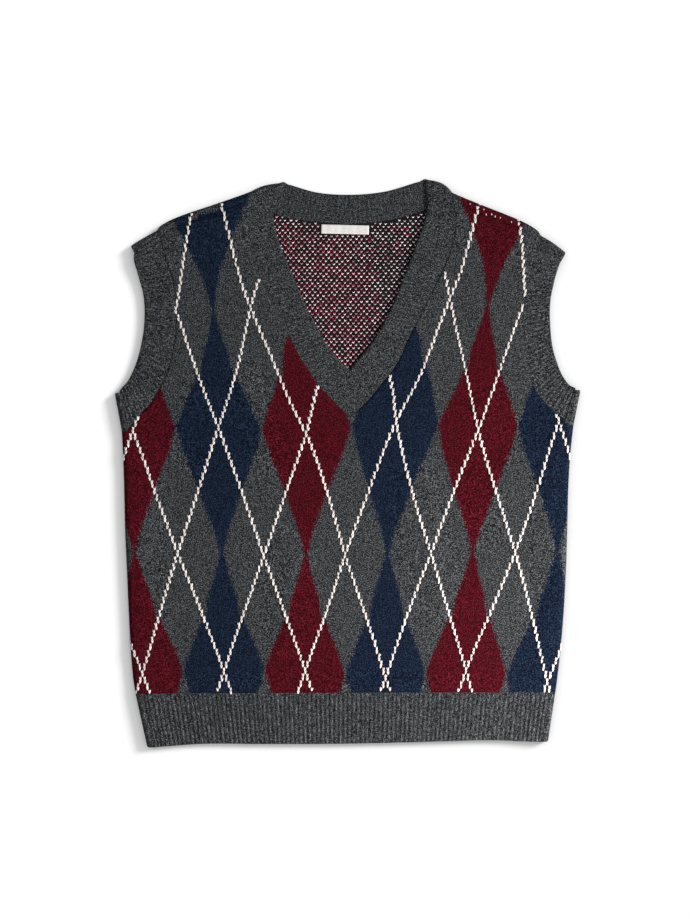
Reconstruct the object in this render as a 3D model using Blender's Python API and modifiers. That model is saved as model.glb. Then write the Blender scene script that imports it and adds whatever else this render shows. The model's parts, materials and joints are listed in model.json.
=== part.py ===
"""Knitted V-neck sweater vest, laid flat on its back with its front up.

Metres, +Z up. The neck points to +Y, the hem to -Y, and "left" is the -X side as seen from above.
The underside rests on z = 0 and the origin is under the middle of the vest.

The cloth is two layers, a back and a front, that turn into each other round the side folds and the
shoulder folds. Every piece is a closed wall: a sheet of point pairs, one point on the cloth's inner
face and one on its outer face. Tables give the cut in millimetres, one row for each section.
"""

import math
from collections import namedtuple

import bmesh
import bpy
from mathutils import Vector

MM = 0.001

# Cloth, in millimetres
WALL = 2.6                  # knitted wall
SEAM_GAP = 0.3              # clearance between pieces at a seam
SEAM_SLANT = 1.4            # a band's crossings meet its seam at a slant, so they stop short by more
FOLD_RADIUS = 4.5           # outside radius where the cloth turns from front to back
FOLD_STEPS = 3              # facets in a quarter turn
LAY_HEIGHT = 3.8            # inner face of the front layer, where it lies on the back
FOLD_EASE = 48.0            # distance over which the front layer rises to a fold
ARMHOLE_FADE = 70.0         # height over which the side fold's rise dies out above the underarm
SHOULDER_SEAM_DEPTH = 8.5   # the shoulder seam lies this far in front of the shoulder fold
SHOULDER_RISE = 6.2         # how far the shoulder line bows up from a straight one
PANEL_COLUMNS = 11          # steps across half a panel

# Ribs, in millimetres
RIB_PITCH = 4.7
RIB_HEIGHT = 0.8
MITRE_RIBS = 7              # ribs that end on the mitre at the point of the V
MITRE_FOOT = 0.8            # half the width of the neckband's point at the foot of the mitre
MITRE_DROP = 0.1            # how far the point's corners lie below its middle

# Label, in millimetres
LABEL_SIZE = (50.5, 9.6, 0.7)
LABEL_CENTRE = (-2.7, 247.6)
LABEL_TURN = math.radians(-1.3)

CENTRE_X = 3.0              # middle line of the body
SHARP_EDGE = math.radians(50.0)
FRONT, BACK = "front", "back"

# Both panels below the armholes: the side folds, and the height of the section on the middle line.
BodyRow = namedtuple("BodyRow", "left_x left_y right_x right_y centre_y")
BODY = (
    BodyRow(-224.5, -243.5, 220.0, -242.0, -242.5),
    BodyRow(-226.5, -231.0, 221.5, -231.0, -231.0),
    BodyRow(-229.0, -205.0, 224.5, -205.0, -205.0),
    BodyRow(-231.5, -160.0, 228.5, -160.0, -160.0),
    BodyRow(-233.5, -115.0, 231.0, -115.0, -115.0),
    BodyRow(-235.5, -70.0, 232.5, -70.0, -70.0),
    BodyRow(-236.5, -28.0, 233.5, -28.0, -28.0),
    BodyRow(-237.5, 5.0, 235.5, 7.0, 3.0),
    BodyRow(-239.0, 34.0, 239.0, 40.0, 31.0),
)

# One half of the front from the underarm to the shoulder. Each row crosses the armhole band's free
# edge, the armhole seam, the neck seam and the neckband's free edge; bow is its share of the
# shoulder's curve. The neckband's first three rows end on the mitre.
FrontRow = namedtuple("FrontRow", "arm_x arm_y seam_x seam_y neck_x neck_y band_x band_y bow")
FRONT_LEFT = (
    FrontRow(-240.0, 78.5, -227.6, 41.8, 3.0, 48.0, 3.1, 49.6, 0.0),
    FrontRow(-234.0, 85.0, -219.0, 52.0, -12.5, 63.0, 3.0, 78.5, 0.0),
    FrontRow(-228.5, 94.5, -207.0, 66.0, -22.0, 74.0, 2.6, 99.0, 0.0),
    FrontRow(-224.5, 104.0, -199.0, 80.0, -31.0, 82.5, -5.0, 105.5, 0.0),
    FrontRow(-221.0, 115.0, -191.5, 97.0, -40.0, 97.0, -12.5, 113.5, 0.0),
    FrontRow(-218.5, 125.0, -187.5, 110.0, -50.0, 111.5, -21.0, 124.0, 0.0),
    FrontRow(-216.0, 139.5, -183.5, 128.0, -60.5, 133.0, -33.0, 146.0, 0.0),
    FrontRow(-215.0, 152.0, -182.0, 145.0, -71.5, 154.0, -42.5, 163.5, 0.0),
    FrontRow(-215.0, 166.5, -182.0, 163.0, -83.5, 176.5, -53.0, 187.0, 0.0),
    FrontRow(-216.5, 180.0, -183.0, 180.0, -94.0, 197.5, -62.5, 209.0, 0.05),
    FrontRow(-219.5, 191.5, -186.5, 196.0, -100.5, 215.0, -69.5, 226.0, 0.15),
    FrontRow(-223.0, 204.0, -190.5, 210.0, -104.0, 230.0, -74.0, 238.5, 0.35),
    FrontRow(-225.5, 212.0, -193.5, 220.5, -105.0, 247.0, -77.0, 251.0, 0.6),
    FrontRow(-226.2, 218.0, -196.3, 230.0, -104.0, 264.0, -78.3, 269.0, 0.85),
)
FRONT_RIGHT = (
    FrontRow(241.0, 79.5, 228.3, 46.2, 3.0, 48.0, 3.1, 49.6, 0.0),
    FrontRow(235.0, 82.5, 219.0, 54.5, 19.0, 64.0, 3.0, 78.5, 0.0),
    FrontRow(229.0, 90.0, 208.5, 64.0, 29.0, 75.5, 2.6, 99.0, 0.0),
    FrontRow(225.0, 97.5, 200.5, 75.0, 36.0, 84.0, 9.0, 107.0, 0.0),
    FrontRow(221.0, 108.5, 194.5, 87.0, 44.5, 94.5, 16.0, 115.5, 0.0),
    FrontRow(218.0, 118.0, 190.5, 101.0, 54.0, 109.0, 25.0, 126.5, 0.0),
    FrontRow(215.5, 132.0, 187.0, 120.0, 64.0, 131.5, 33.5, 140.0, 0.0),
    FrontRow(214.5, 146.0, 185.5, 137.0, 75.0, 153.5, 43.5, 159.0, 0.0),
    FrontRow(214.0, 160.0, 185.0, 156.0, 85.5, 174.5, 53.0, 180.5, 0.0),
    FrontRow(215.0, 175.0, 186.5, 173.5, 95.5, 195.0, 61.0, 200.5, 0.05),
    FrontRow(217.5, 187.0, 190.0, 191.0, 103.5, 212.5, 68.0, 219.0, 0.15),
    FrontRow(220.0, 198.0, 194.0, 206.0, 109.5, 229.0, 74.5, 237.0, 0.35),
    FrontRow(222.5, 206.0, 196.5, 215.5, 113.0, 245.0, 80.0, 252.0, 0.6),
    FrontRow(224.5, 211.5, 198.7, 225.0, 113.5, 262.0, 84.0, 270.0, 0.85),
)

# The back's sections start on the same armhole points, and end on the middle line or the neck seam.
# From the middle of the neck on, each row also gives the neckband's free edge.
BackRow = namedtuple("BackRow", "neck_x neck_y band_x band_y bow")
BACK_CENTRE = (48.0, 62.0, 77.0, 92.0, 108.0, 124.0, 143.0, 163.0, 185.0, 208.0, 231.0)
BACK_NECK_LEFT = (
    BackRow(CENTRE_X, 253.5, CENTRE_X, 284.5, 0.2),
    BackRow(-40.0, 256.5, -33.0, 287.0, 0.45),
    BackRow(-77.0, 264.5, -61.0, 295.0, 0.75),
)
BACK_NECK_RIGHT = (
    BackRow(CENTRE_X, 253.5, CENTRE_X, 284.5, 0.2),
    BackRow(47.0, 258.0, 40.0, 288.0, 0.45),
    BackRow(86.0, 269.5, 73.0, 297.6, 0.75),
)

# Where the cloth turns over the shoulder: the fold's points, with the way in from each.
FoldPoint = namedtuple("FoldPoint", "x y inward_x inward_y")
Shoulder = namedtuple("Shoulder", "arm_free arm_middle arm_seam neck_seam neck_middle neck_free")
SHOULDER_LEFT = Shoulder(
    FoldPoint(-229.5, 230.0, 0.45, -0.89),
    FoldPoint(-216.0, 238.5, 0.45, -0.89),
    FoldPoint(-202.0, 246.0, 0.45, -0.89),
    FoldPoint(-101.5, 288.0, 0.1, -0.995),
    FoldPoint(-86.5, 294.5, 0.0, -1.0),
    FoldPoint(-67.5, 297.2, -0.1, -0.995),
)
SHOULDER_RIGHT = Shoulder(
    FoldPoint(231.0, 222.5, -0.5, -0.866),
    FoldPoint(218.5, 232.5, -0.5, -0.866),
    FoldPoint(204.5, 241.0, -0.5, -0.866),
    FoldPoint(110.5, 286.5, 0.0, -1.0),
    FoldPoint(99.0, 296.8, 0.0, -1.0),
    FoldPoint(82.0, 300.5, 0.1, -0.995),
)

# The ends of the armhole bands on the side folds.
UNDERARM_LEFT = FoldPoint(-246.5, 74.5, 1.0, 0.0)
UNDERARM_RIGHT = FoldPoint(246.5, 77.5, -1.0, 0.0)

# The hem from its left fold to its right one: a point on the seam, and one on the lower edge.
HemRow = namedtuple("HemRow", "seam_x edge_x edge_y")
HEM = (
    HemRow(-203.0, -192.5, -299.5),
    HemRow(-164.0, -156.5, -297.0),
    HemRow(-97.0, -93.0, -297.0),
    HemRow(-30.0, -29.5, -297.0),
    HemRow(57.0, 55.5, -295.5),
    HemRow(112.0, 108.5, -294.0),
    HemRow(156.0, 151.0, -293.0),
    HemRow(199.0, 193.0, -294.5),
)
HEM_CORNER_LEFT = FoldPoint(-212.0, -300.5, 1.0, 0.0)
HEM_CORNER_RIGHT = FoldPoint(212.0, -294.5, -1.0, 0.0)

# Soft ridges and troughs of the front layer, each along a straight line.
Crease = namedtuple("Crease", "start_x start_y end_x end_y width height")
CREASES = (
    Crease(-205.0, 52.0, -138.0, -22.0, 15.0, -0.7),
    Crease(-182.0, 88.0, -128.0, 38.0, 13.0, 0.6),
    Crease(206.0, 58.0, 132.0, -6.0, 16.0, -0.7),
    Crease(176.0, 92.0, 118.0, 30.0, 14.0, 0.6),
    Crease(-122.0, 120.0, -66.0, -34.0, 22.0, 0.7),
    Crease(58.0, 34.0, 104.0, -158.0, 20.0, -0.6),
    Crease(128.0, -46.0, 150.0, -196.0, 22.0, 0.9),
    Crease(-70.0, -96.0, -104.0, -206.0, 18.0, 0.6),
    Crease(-210.0, -231.0, 205.0, -229.0, 8.0, 0.7),
)

# Colours as Blender's linear values
CHARCOAL = (0.042, 0.046, 0.050)
NAVY = (0.011, 0.017, 0.034)
LABEL_WHITE = (0.66, 0.64, 0.62)


# --- where the cloth lies ------------------------------------------------------------------------

def smooth(value):
    """An S-curve from 0 to 1."""
    value = min(max(value, 0.0), 1.0)
    return value * value * (3.0 - 2.0 * value)


def side_fold_x(y, left):
    """The x of a side fold at a height, from the body's rows."""
    ends = [(row.left_y, row.left_x) if left else (row.right_y, row.right_x) for row in BODY]
    y = min(max(y, ends[0][0]), ends[-1][0])
    for (low_y, low_x), (high_y, high_x) in zip(ends, ends[1:]):
        if y <= high_y:
            break
    return low_x + (high_x - low_x) * (y - low_y) / (high_y - low_y)


def shoulder_distance(x, y, shoulder):
    """How far a point lies inside a shoulder fold."""
    start = Vector((shoulder.arm_free.x, shoulder.arm_free.y))
    along = Vector((shoulder.neck_free.x, shoulder.neck_free.y)) - start
    offset = Vector((x, y)) - start
    return abs(along.cross(offset)) / along.length


def crease_height(x, y):
    """The ridges' and troughs' height at a point, each one fading to its ends and sides."""
    height = 0.0
    for crease in CREASES:
        start = Vector((crease.start_x, crease.start_y))
        along = Vector((crease.end_x, crease.end_y)) - start
        offset = Vector((x, y)) - start
        place = offset.dot(along) / along.length_squared
        if 0.0 < place < 1.0:
            away = along.cross(offset) / along.length / crease.width
            height += crease.height * math.sin(math.pi * place) * math.exp(-away * away)
    return height


def front_height(x, y):
    """The height of the front layer's inner face: low in the middle, raised towards the folds."""
    left = x < CENTRE_X
    underarm_y = BODY[-1].left_y if left else BODY[-1].right_y
    side = smooth(1.0 - abs(x - side_fold_x(y, left)) / FOLD_EASE)
    side *= smooth(1.0 - (y - underarm_y) / ARMHOLE_FADE)
    shoulder = SHOULDER_LEFT if left else SHOULDER_RIGHT
    top = smooth(1.0 - shoulder_distance(x, y, shoulder) / FOLD_EASE)
    rise = max(side, top)
    fold_height = 2.0 * FOLD_RADIUS - WALL
    return LAY_HEIGHT + (fold_height - LAY_HEIGHT) * rise + crease_height(x, y) * (1.0 - rise)


# --- points of the cloth: an inner point, and the way out through the wall -----------------------

Node = namedtuple("Node", "inner outward")


def lay(x, y, layer):
    """A point of the front or back layer."""
    if layer == FRONT:
        return Node(Vector((x, y, front_height(x, y))), Vector((0.0, 0.0, 1.0)))
    return Node(Vector((x, y, WALL)), Vector((0.0, 0.0, -1.0)))


def turn(fold, degrees):
    """A point of the half-round fold: 0 is its top, 90 the outline and 180 the underside."""
    angle = math.radians(degrees)
    inward = Vector((fold.inward_x, fold.inward_y, 0.0))
    centre = Vector((fold.x, fold.y, FOLD_RADIUS)) + inward * FOLD_RADIUS
    outward = Vector((0.0, 0.0, math.cos(angle))) - inward * math.sin(angle)
    return Node(centre + outward * (FOLD_RADIUS - WALL), outward)


def turn_angles(start, end):
    """The angles of a fold's facets from one angle to another."""
    steps = round(abs(end - start) / 90.0 * FOLD_STEPS)
    return [start + (end - start) * step / steps for step in range(steps + 1)]


def split_at_side_seam(node, layer):
    """A fold's outermost point, moved half the seam's gap towards its own layer."""
    shift = SEAM_GAP / 2.0 if layer == FRONT else -SEAM_GAP / 2.0
    return Node(node.inner + Vector((0.0, 0.0, shift)), node.outward)


def blend(first, second, share):
    """A point between two points of the cloth."""
    return Node(first.inner.lerp(second.inner, share), first.outward.lerp(second.outward, share))


def pair(node, thickness=WALL, sunk=0.0):
    """The wall's two points at a place; sunk moves the inner one in by a rib's height."""
    return node.inner - node.outward * sunk, node.inner + node.outward * thickness


# --- panels --------------------------------------------------------------------------------------

def shoulder_curve(share):
    """The shoulder line's rise over a straight one, from the armhole (0) to the neck (1)."""
    return SHOULDER_RISE * math.sin(math.pi * math.sqrt(share)) * (1.0 - 0.6 * share)


def section(outer, inner, bow, layer):
    """A panel's section between two points of its cut, bowed up by a share of the shoulder's curve."""
    nodes = []
    for column in range(PANEL_COLUMNS + 1):
        share = column / PANEL_COLUMNS
        x = outer[0] + (inner[0] - outer[0]) * share
        y = outer[1] + (inner[1] - outer[1]) * share + bow * shoulder_curve(share)
        nodes.append(lay(x, y, layer))
    return nodes


def shoulder_folds(shoulder):
    """The shoulder fold as a row of fold points from the armhole seam to the neck seam."""
    first, last = shoulder.arm_seam, shoulder.neck_seam
    folds = []
    for column in range(PANEL_COLUMNS + 1):
        share = column / PANEL_COLUMNS
        x, y, inward_x, inward_y = (a + (b - a) * share for a, b in zip(first, last))
        folds.append(FoldPoint(x, y + shoulder_curve(share), inward_x, inward_y))
    return folds


def moved_in(fold, depth, layer):
    """A point of a layer at a depth inside a fold."""
    return lay(fold.x + fold.inward_x * depth, fold.y + fold.inward_y * depth, layer)


def side_fold(row, left):
    """The side fold's point on a body row."""
    if left:
        return FoldPoint(row.left_x, row.left_y, 1.0, 0.0)
    return FoldPoint(row.right_x, row.right_y, -1.0, 0.0)


def body_patch(layer, left):
    """Half a panel below the armhole: each row runs from the side seam round the fold to the middle."""
    flat = 0.0 if layer == FRONT else 180.0
    rows = []
    for row in BODY:
        fold = side_fold(row, left)
        rounded = [turn(fold, angle) for angle in turn_angles(90.0, flat)]
        rounded[0] = split_at_side_seam(rounded[0], layer)
        start = rounded[-1].inner
        across = section((start.x, start.y), (CENTRE_X, row.centre_y), 0.0, layer)
        rows.append(rounded + across[1:])
    return rows


def front_patches(left):
    """Half of the front panel, from the hem seam to the shoulder seam."""
    table, shoulder = (FRONT_LEFT, SHOULDER_LEFT) if left else (FRONT_RIGHT, SHOULDER_RIGHT)
    below = body_patch(FRONT, left)
    above = [below[-1][FOLD_STEPS:]]
    for row in table:
        above.append(section((row.seam_x, row.seam_y), (row.neck_x, row.neck_y), row.bow, FRONT))
    depth = SHOULDER_SEAM_DEPTH
    above.append([moved_in(fold, depth, FRONT) for fold in shoulder_folds(shoulder)])
    return [below, above]


def back_patches(left):
    """Half of the back panel, from the hem seam over the shoulder fold to the shoulder seam."""
    table, shoulder = (FRONT_LEFT, SHOULDER_LEFT) if left else (FRONT_RIGHT, SHOULDER_RIGHT)
    neck = BACK_NECK_LEFT if left else BACK_NECK_RIGHT
    below = body_patch(BACK, left)
    above = [below[-1][FOLD_STEPS:]]
    ends = [((CENTRE_X, y), 0.0) for y in BACK_CENTRE]
    ends += [((row.neck_x, row.neck_y), row.bow) for row in neck]
    for row, (end, bow) in zip(table, ends):
        above.append(section((row.seam_x, row.seam_y), end, bow, BACK))
    folds = shoulder_folds(shoulder)
    above += [[turn(fold, angle) for fold in folds] for angle in turn_angles(180.0, 0.0)]
    depth = SHOULDER_SEAM_DEPTH - SEAM_GAP
    above.append([moved_in(fold, depth, FRONT) for fold in folds])
    return [below, above]


# --- ribbed bands --------------------------------------------------------------------------------

# A band is given as crossings, lists of points from its seam to its free edge.

def drawn_back(crossing):
    """A crossing whose first point leaves the seam's gap to the next piece."""
    way = (crossing[1].inner - crossing[0].inner).normalized()
    seam = Node(crossing[0].inner + way * SEAM_GAP * SEAM_SLANT, crossing[0].outward)
    return [seam] + crossing[1:]


def flat_crossing(seam, free, layer):
    """A crossing of a band's flat part, with a middle point."""
    ends = lay(*seam, layer), lay(*free, layer)
    return drawn_back([ends[0], blend(*ends, 0.5), ends[1]])


def turned_crossings(folds, start, end):
    """A band's crossings where it turns over a fold."""
    return [drawn_back([turn(fold, angle) for fold in folds]) for angle in turn_angles(start, end)]


def span_lengths(crossings):
    """The lengths between crossings, halfway between a band's edges."""
    middles = [(crossing[0].inner + crossing[-1].inner) / 2.0 for crossing in crossings]
    return [(b - a).length for a, b in zip(middles, middles[1:])]


def resample(crossings, steps, count):
    """Crossings at even steps along a band, through the ones given, whose spans have these lengths."""
    total = sum(steps)
    result, passed, span = [], 0.0, 0
    for number in range(count + 1):
        place = total * number / count
        while span < len(steps) - 1 and place > passed + steps[span]:
            passed += steps[span]
            span += 1
        share = min((place - passed) / steps[span], 1.0)
        low, high = crossings[span], crossings[span + 1]
        result.append([blend(a, b, share) for a, b in zip(low, high)])
    return result


def ribbed(crossings, steps=None, ribs=None, upper_is_inner=False):
    """A patch with a raised rib for each pitch of a band's length, on its outer or its inner face."""
    steps = steps or span_lengths(crossings)
    ribs = ribs or round(sum(steps) / RIB_PITCH)
    rows = []
    for number, crossing in enumerate(resample(crossings, steps, 2 * ribs)):
        raised = RIB_HEIGHT if number % 2 else 0.0
        if upper_is_inner:
            rows.append([pair(node, WALL, raised) for node in crossing])
        else:
            rows.append([pair(node, WALL + raised) for node in crossing])
    return rows


def plain(crossings):
    """A patch with no ribs, for a layer that rests flat."""
    return [[pair(node) for node in crossing] for crossing in crossings]


def middle_fold(first, second):
    """The fold point halfway between two."""
    return FoldPoint(*((a + b) / 2.0 for a, b in zip(first, second)))


def armband_patches(left):
    """The armhole band, a closed ring: its ribbed front half, and its back half underneath."""
    if left:
        table, shoulder, tip = FRONT_LEFT, SHOULDER_LEFT, UNDERARM_LEFT
    else:
        table, shoulder, tip = FRONT_RIGHT, SHOULDER_RIGHT, UNDERARM_RIGHT
    seam_end = side_fold(BODY[-1], left)
    underarm = seam_end, middle_fold(seam_end, tip), tip
    top = shoulder.arm_seam, shoulder.arm_middle, shoulder.arm_free

    def along(layer):
        return [flat_crossing((r.seam_x, r.seam_y), (r.arm_x, r.arm_y), layer) for r in table]

    front = turned_crossings(underarm, 90.0, 0.0) + along(FRONT) + turned_crossings(top, 0.0, 90.0)
    back = turned_crossings(top, 90.0, 180.0) + along(BACK)[::-1]
    back += turned_crossings(underarm, 180.0, 90.0)
    return [ribbed(front), plain(back)]


def neckband_side(left):
    """One side of the V, from the mitre's foot to the depth of the shoulder seam."""
    table, shoulder = (FRONT_LEFT, SHOULDER_LEFT) if left else (FRONT_RIGHT, SHOULDER_RIGHT)
    crossings = [
        flat_crossing((row.neck_x, row.neck_y), (row.band_x, row.band_y), FRONT) for row in table
    ]
    foot = table[0].band_x, table[0].band_y
    corner = foot[0] + (-MITRE_FOOT if left else MITRE_FOOT), foot[1] - MITRE_DROP
    crossings[0] = [lay(*corner, FRONT), lay((foot[0] + corner[0]) / 2.0, foot[1], FRONT),
                    lay(*foot, FRONT)]
    folds = shoulder.neck_seam, shoulder.neck_middle, shoulder.neck_free
    crossings.append(drawn_back([moved_in(fold, SHOULDER_SEAM_DEPTH, FRONT) for fold in folds]))
    return crossings


def neckband_turn(left, start, end):
    """The neckband where it turns over the shoulder fold."""
    shoulder = SHOULDER_LEFT if left else SHOULDER_RIGHT
    folds = shoulder.neck_seam, shoulder.neck_middle, shoulder.neck_free
    return turned_crossings(folds, start, end)


def neckband_back(left):
    """Half of the neckband's back part, from the shoulder fold to the middle of the neck."""
    rows = BACK_NECK_LEFT if left else BACK_NECK_RIGHT
    crossings = [flat_crossing((r.neck_x, r.neck_y), (r.band_x, r.band_y), BACK) for r in rows]
    return neckband_turn(left, 90.0, 180.0) + crossings[::-1]


def neckband_patches():
    """The neckband, a closed ring: two mitred sides of the V and the part round the back.

    The sides share the mitre's points, so the ribs that end on it are spaced alike on both.
    """
    patches = []
    for left in (True, False):
        side = neckband_side(left)
        patches.append(ribbed(side[:3], steps=(1.0, 1.0), ribs=MITRE_RIBS))
        patches.append(ribbed(side[2:] + neckband_turn(left, 0.0, 90.0)))
    back = neckband_back(True) + neckband_back(False)[-2::-1]
    patches.append(ribbed(back, upper_is_inner=True))
    return patches


def hem_seam_y(x):
    """The height of the seam between the panels and the hem."""
    row = BODY[0]
    if x < CENTRE_X:
        share = (x - row.left_x) / (CENTRE_X - row.left_x)
        return row.left_y + (row.centre_y - row.left_y) * share
    share = (row.right_x - x) / (row.right_x - CENTRE_X)
    return row.right_y + (row.centre_y - row.right_y) * share


def hem_patches(layer):
    """The hem's front or back half, from side seam to side seam."""
    flat = 0.0 if layer == FRONT else 180.0
    left = turned_crossings((side_fold(BODY[0], True), HEM_CORNER_LEFT), 90.0, flat)
    right = turned_crossings((side_fold(BODY[0], False), HEM_CORNER_RIGHT), flat, 90.0)
    left[0] = [split_at_side_seam(node, layer) for node in left[0]]
    right[-1] = [split_at_side_seam(node, layer) for node in right[-1]]
    middle = []
    for row in HEM:
        seam = lay(row.seam_x, hem_seam_y(row.seam_x), layer)
        middle.append(drawn_back([seam, lay(row.edge_x, row.edge_y, layer)]))
    crossings = left + middle + right
    return [ribbed(crossings) if layer == FRONT else plain(crossings)]


# --- meshes --------------------------------------------------------------------------------------

def wall_mesh(name, patches):
    """Close patches of point pairs into one wall: two faces, and a rim round every free edge."""
    numbers, pairs, cells = {}, [], []

    def number_of(point_pair):
        key = tuple(round(value, 3) for point in point_pair for value in point)
        if key not in numbers:
            numbers[key] = len(pairs)
            pairs.append(point_pair)
        return numbers[key]

    for patch in patches:
        grid = [[number_of(point_pair) for point_pair in row] for row in patch]
        for low, high in zip(grid, grid[1:]):
            for column in range(len(low) - 1):
                cells.append((low[column], low[column + 1], high[column + 1], high[column]))

    rims = {}
    for cell in cells:
        for start, end in zip(cell, cell[1:] + cell[:1]):
            rims.setdefault(frozenset((start, end)), []).append((start, end))

    mesh = bmesh.new()
    inner = [mesh.verts.new(point * MM) for point, _ in pairs]
    outer = [mesh.verts.new(point * MM) for _, point in pairs]
    for cell in cells:
        mesh.faces.new([inner[number] for number in reversed(cell)])
        mesh.faces.new([outer[number] for number in cell])
    for uses in rims.values():
        if len(uses) == 1:
            start, end = uses[0]
            mesh.faces.new((inner[start], inner[end], outer[end], outer[start]))
    bmesh.ops.recalc_face_normals(mesh, faces=mesh.faces)
    data = bpy.data.meshes.new(name)
    mesh.to_mesh(data)
    mesh.free()
    return data


def make_material(name, colour):
    """A matt material of one colour."""
    material = bpy.data.materials.new(name)
    material.use_nodes = True
    shader = material.node_tree.nodes["Principled BSDF"]
    shader.inputs["Base Color"].default_value = (*colour, 1.0)
    shader.inputs["Roughness"].default_value = 0.95
    shader.inputs["Metallic"].default_value = 0.0
    return material


def add_wall(name, patches, colour, collection):
    """A piece of cloth, smooth over its faces and sharp at its edges."""
    piece = bpy.data.objects.new(name, wall_mesh(name, patches))
    collection.objects.link(piece)
    piece.data.materials.append(make_material(name, colour))
    piece.data.shade_smooth()
    piece.data.set_sharp_from_angle(angle=SHARP_EDGE)


def add_panel(name, half_patches, colour, collection):
    """A panel from its two halves, whose middle points are shared."""
    patches = []
    for left in (True, False):
        for rows in half_patches(left):
            patches.append([[pair(node) for node in row] for row in rows])
    add_wall(name, patches, colour, collection)


def add_label(collection):
    """The woven label, a thin bare strip on the inside of the back, under the neckband."""
    bpy.ops.mesh.primitive_cube_add(size=1.0)
    label = bpy.context.object
    label.name = label.data.name = "label"
    label.scale = [size * MM for size in LABEL_SIZE]
    bpy.ops.object.transform_apply(location=False, rotation=False, scale=True)
    height = WALL + SEAM_GAP + LABEL_SIZE[2] / 2.0
    label.location = Vector((*LABEL_CENTRE, height)) * MM
    label.rotation_euler = (0.0, 0.0, LABEL_TURN)
    bevel = label.modifiers.new("soft edges", "BEVEL")
    bevel.width = 0.2 * MM
    bevel.segments = 1
    label.data.materials.append(make_material("label", LABEL_WHITE))
    for other in label.users_collection:
        other.objects.unlink(label)
    collection.objects.link(label)


def main():
    for leftover in list(bpy.data.objects):
        bpy.data.objects.remove(leftover)
    collection = bpy.data.collections.new("sweater_vest")
    bpy.context.scene.collection.children.link(collection)
    add_panel("back_panel", back_patches, NAVY, collection)
    add_panel("front_panel", front_patches, NAVY, collection)
    add_wall("hem_back", hem_patches(BACK), CHARCOAL, collection)
    add_wall("hem_front", hem_patches(FRONT), CHARCOAL, collection)
    add_wall("armband_left", armband_patches(True), CHARCOAL, collection)
    add_wall("armband_right", armband_patches(False), CHARCOAL, collection)
    add_wall("neckband", neckband_patches(), CHARCOAL, collection)
    add_label(collection)


main()
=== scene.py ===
"""The looks of a knitted V-neck sweater vest that lies on its back with its front up.

Sizes in the tables are millimetres. +Z is up, the neck points to +Y, and "left" is the -X side as
seen from above. The argyle is charted in stitches: u counts wales from the middle, and v counts
rows up from the middle of a row of grey diamonds.
"""

import json
import math
from collections import namedtuple

import bmesh
import bpy
import numpy as np
from mathutils import Matrix, Vector
from mathutils.geometry import delaunay_2d_cdt
from mathutils.kdtree import KDTree

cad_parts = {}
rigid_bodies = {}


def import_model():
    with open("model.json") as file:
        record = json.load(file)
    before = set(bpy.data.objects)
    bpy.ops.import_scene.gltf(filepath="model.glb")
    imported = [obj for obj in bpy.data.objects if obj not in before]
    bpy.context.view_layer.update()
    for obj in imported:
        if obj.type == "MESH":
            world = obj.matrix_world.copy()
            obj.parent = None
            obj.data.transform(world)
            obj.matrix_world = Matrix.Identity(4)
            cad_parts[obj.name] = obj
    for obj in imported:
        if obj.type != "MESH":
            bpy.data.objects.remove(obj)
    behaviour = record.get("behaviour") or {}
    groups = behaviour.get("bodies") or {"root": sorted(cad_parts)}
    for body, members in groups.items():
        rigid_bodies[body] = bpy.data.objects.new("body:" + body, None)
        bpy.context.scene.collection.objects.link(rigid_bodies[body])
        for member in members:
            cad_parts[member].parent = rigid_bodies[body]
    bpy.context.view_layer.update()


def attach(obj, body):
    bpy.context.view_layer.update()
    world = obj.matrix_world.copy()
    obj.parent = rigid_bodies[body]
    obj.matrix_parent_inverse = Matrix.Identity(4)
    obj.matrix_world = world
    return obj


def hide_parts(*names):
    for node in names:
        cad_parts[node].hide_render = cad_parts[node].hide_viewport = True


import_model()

bl_info = {
    "name": "Knitted Sweater Vest",
    "version": (1, 0, 0),
    "blender": (4, 5, 0),
    "location": "View3D > Sidebar > Sweater Vest",
    "description": "An argyle V-neck sweater vest with ribbed bands, laid flat",
    "category": "Add Mesh",
}

MM = 0.001
BODY_NAME = "root"

# Cloth, in millimetres
WALL = 2.6                  # knitted wall
SEAM_GAP = 0.03             # what is left open between pieces at a seam
FOLD_RADIUS = 4.5           # outside radius where the cloth turns from front to back
FOLD_ROLL = FOLD_RADIUS * (math.pi / 2.0 - 1.0)     # what a quarter turn takes up beyond that
FOLD_STEPS = 6              # rows in a quarter turn
LAY_HEIGHT = 3.8            # inner face of the front layer, where it lies on the back
FOLD_EASE = 48.0            # distance over which the front layer rises to a fold
UNDERARM_MARGIN = 0.5       # how far over the underarm the front may still turn round that fold
ARMHOLE_FADE = 70.0         # height over which the side fold's rise dies out above the underarm
SHOULDER_SEAM_DEPTH = 8.5   # the shoulder seam lies this far in front of the shoulder fold
SHOULDER_RISE = 6.2         # how far the shoulder line bows up from a straight one
SHOULDER_LOSS = 0.6         # how much of that bow is lost towards the neck
SEAM_DIP = 0.08             # how far a panel's face is drawn down at a seam
SEAM_DIP_REACH = 1.6        # how far from the seam that shows
CENTRE_X = 3.0              # middle line of the body
FRONT, BACK = "front", "back"

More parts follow.
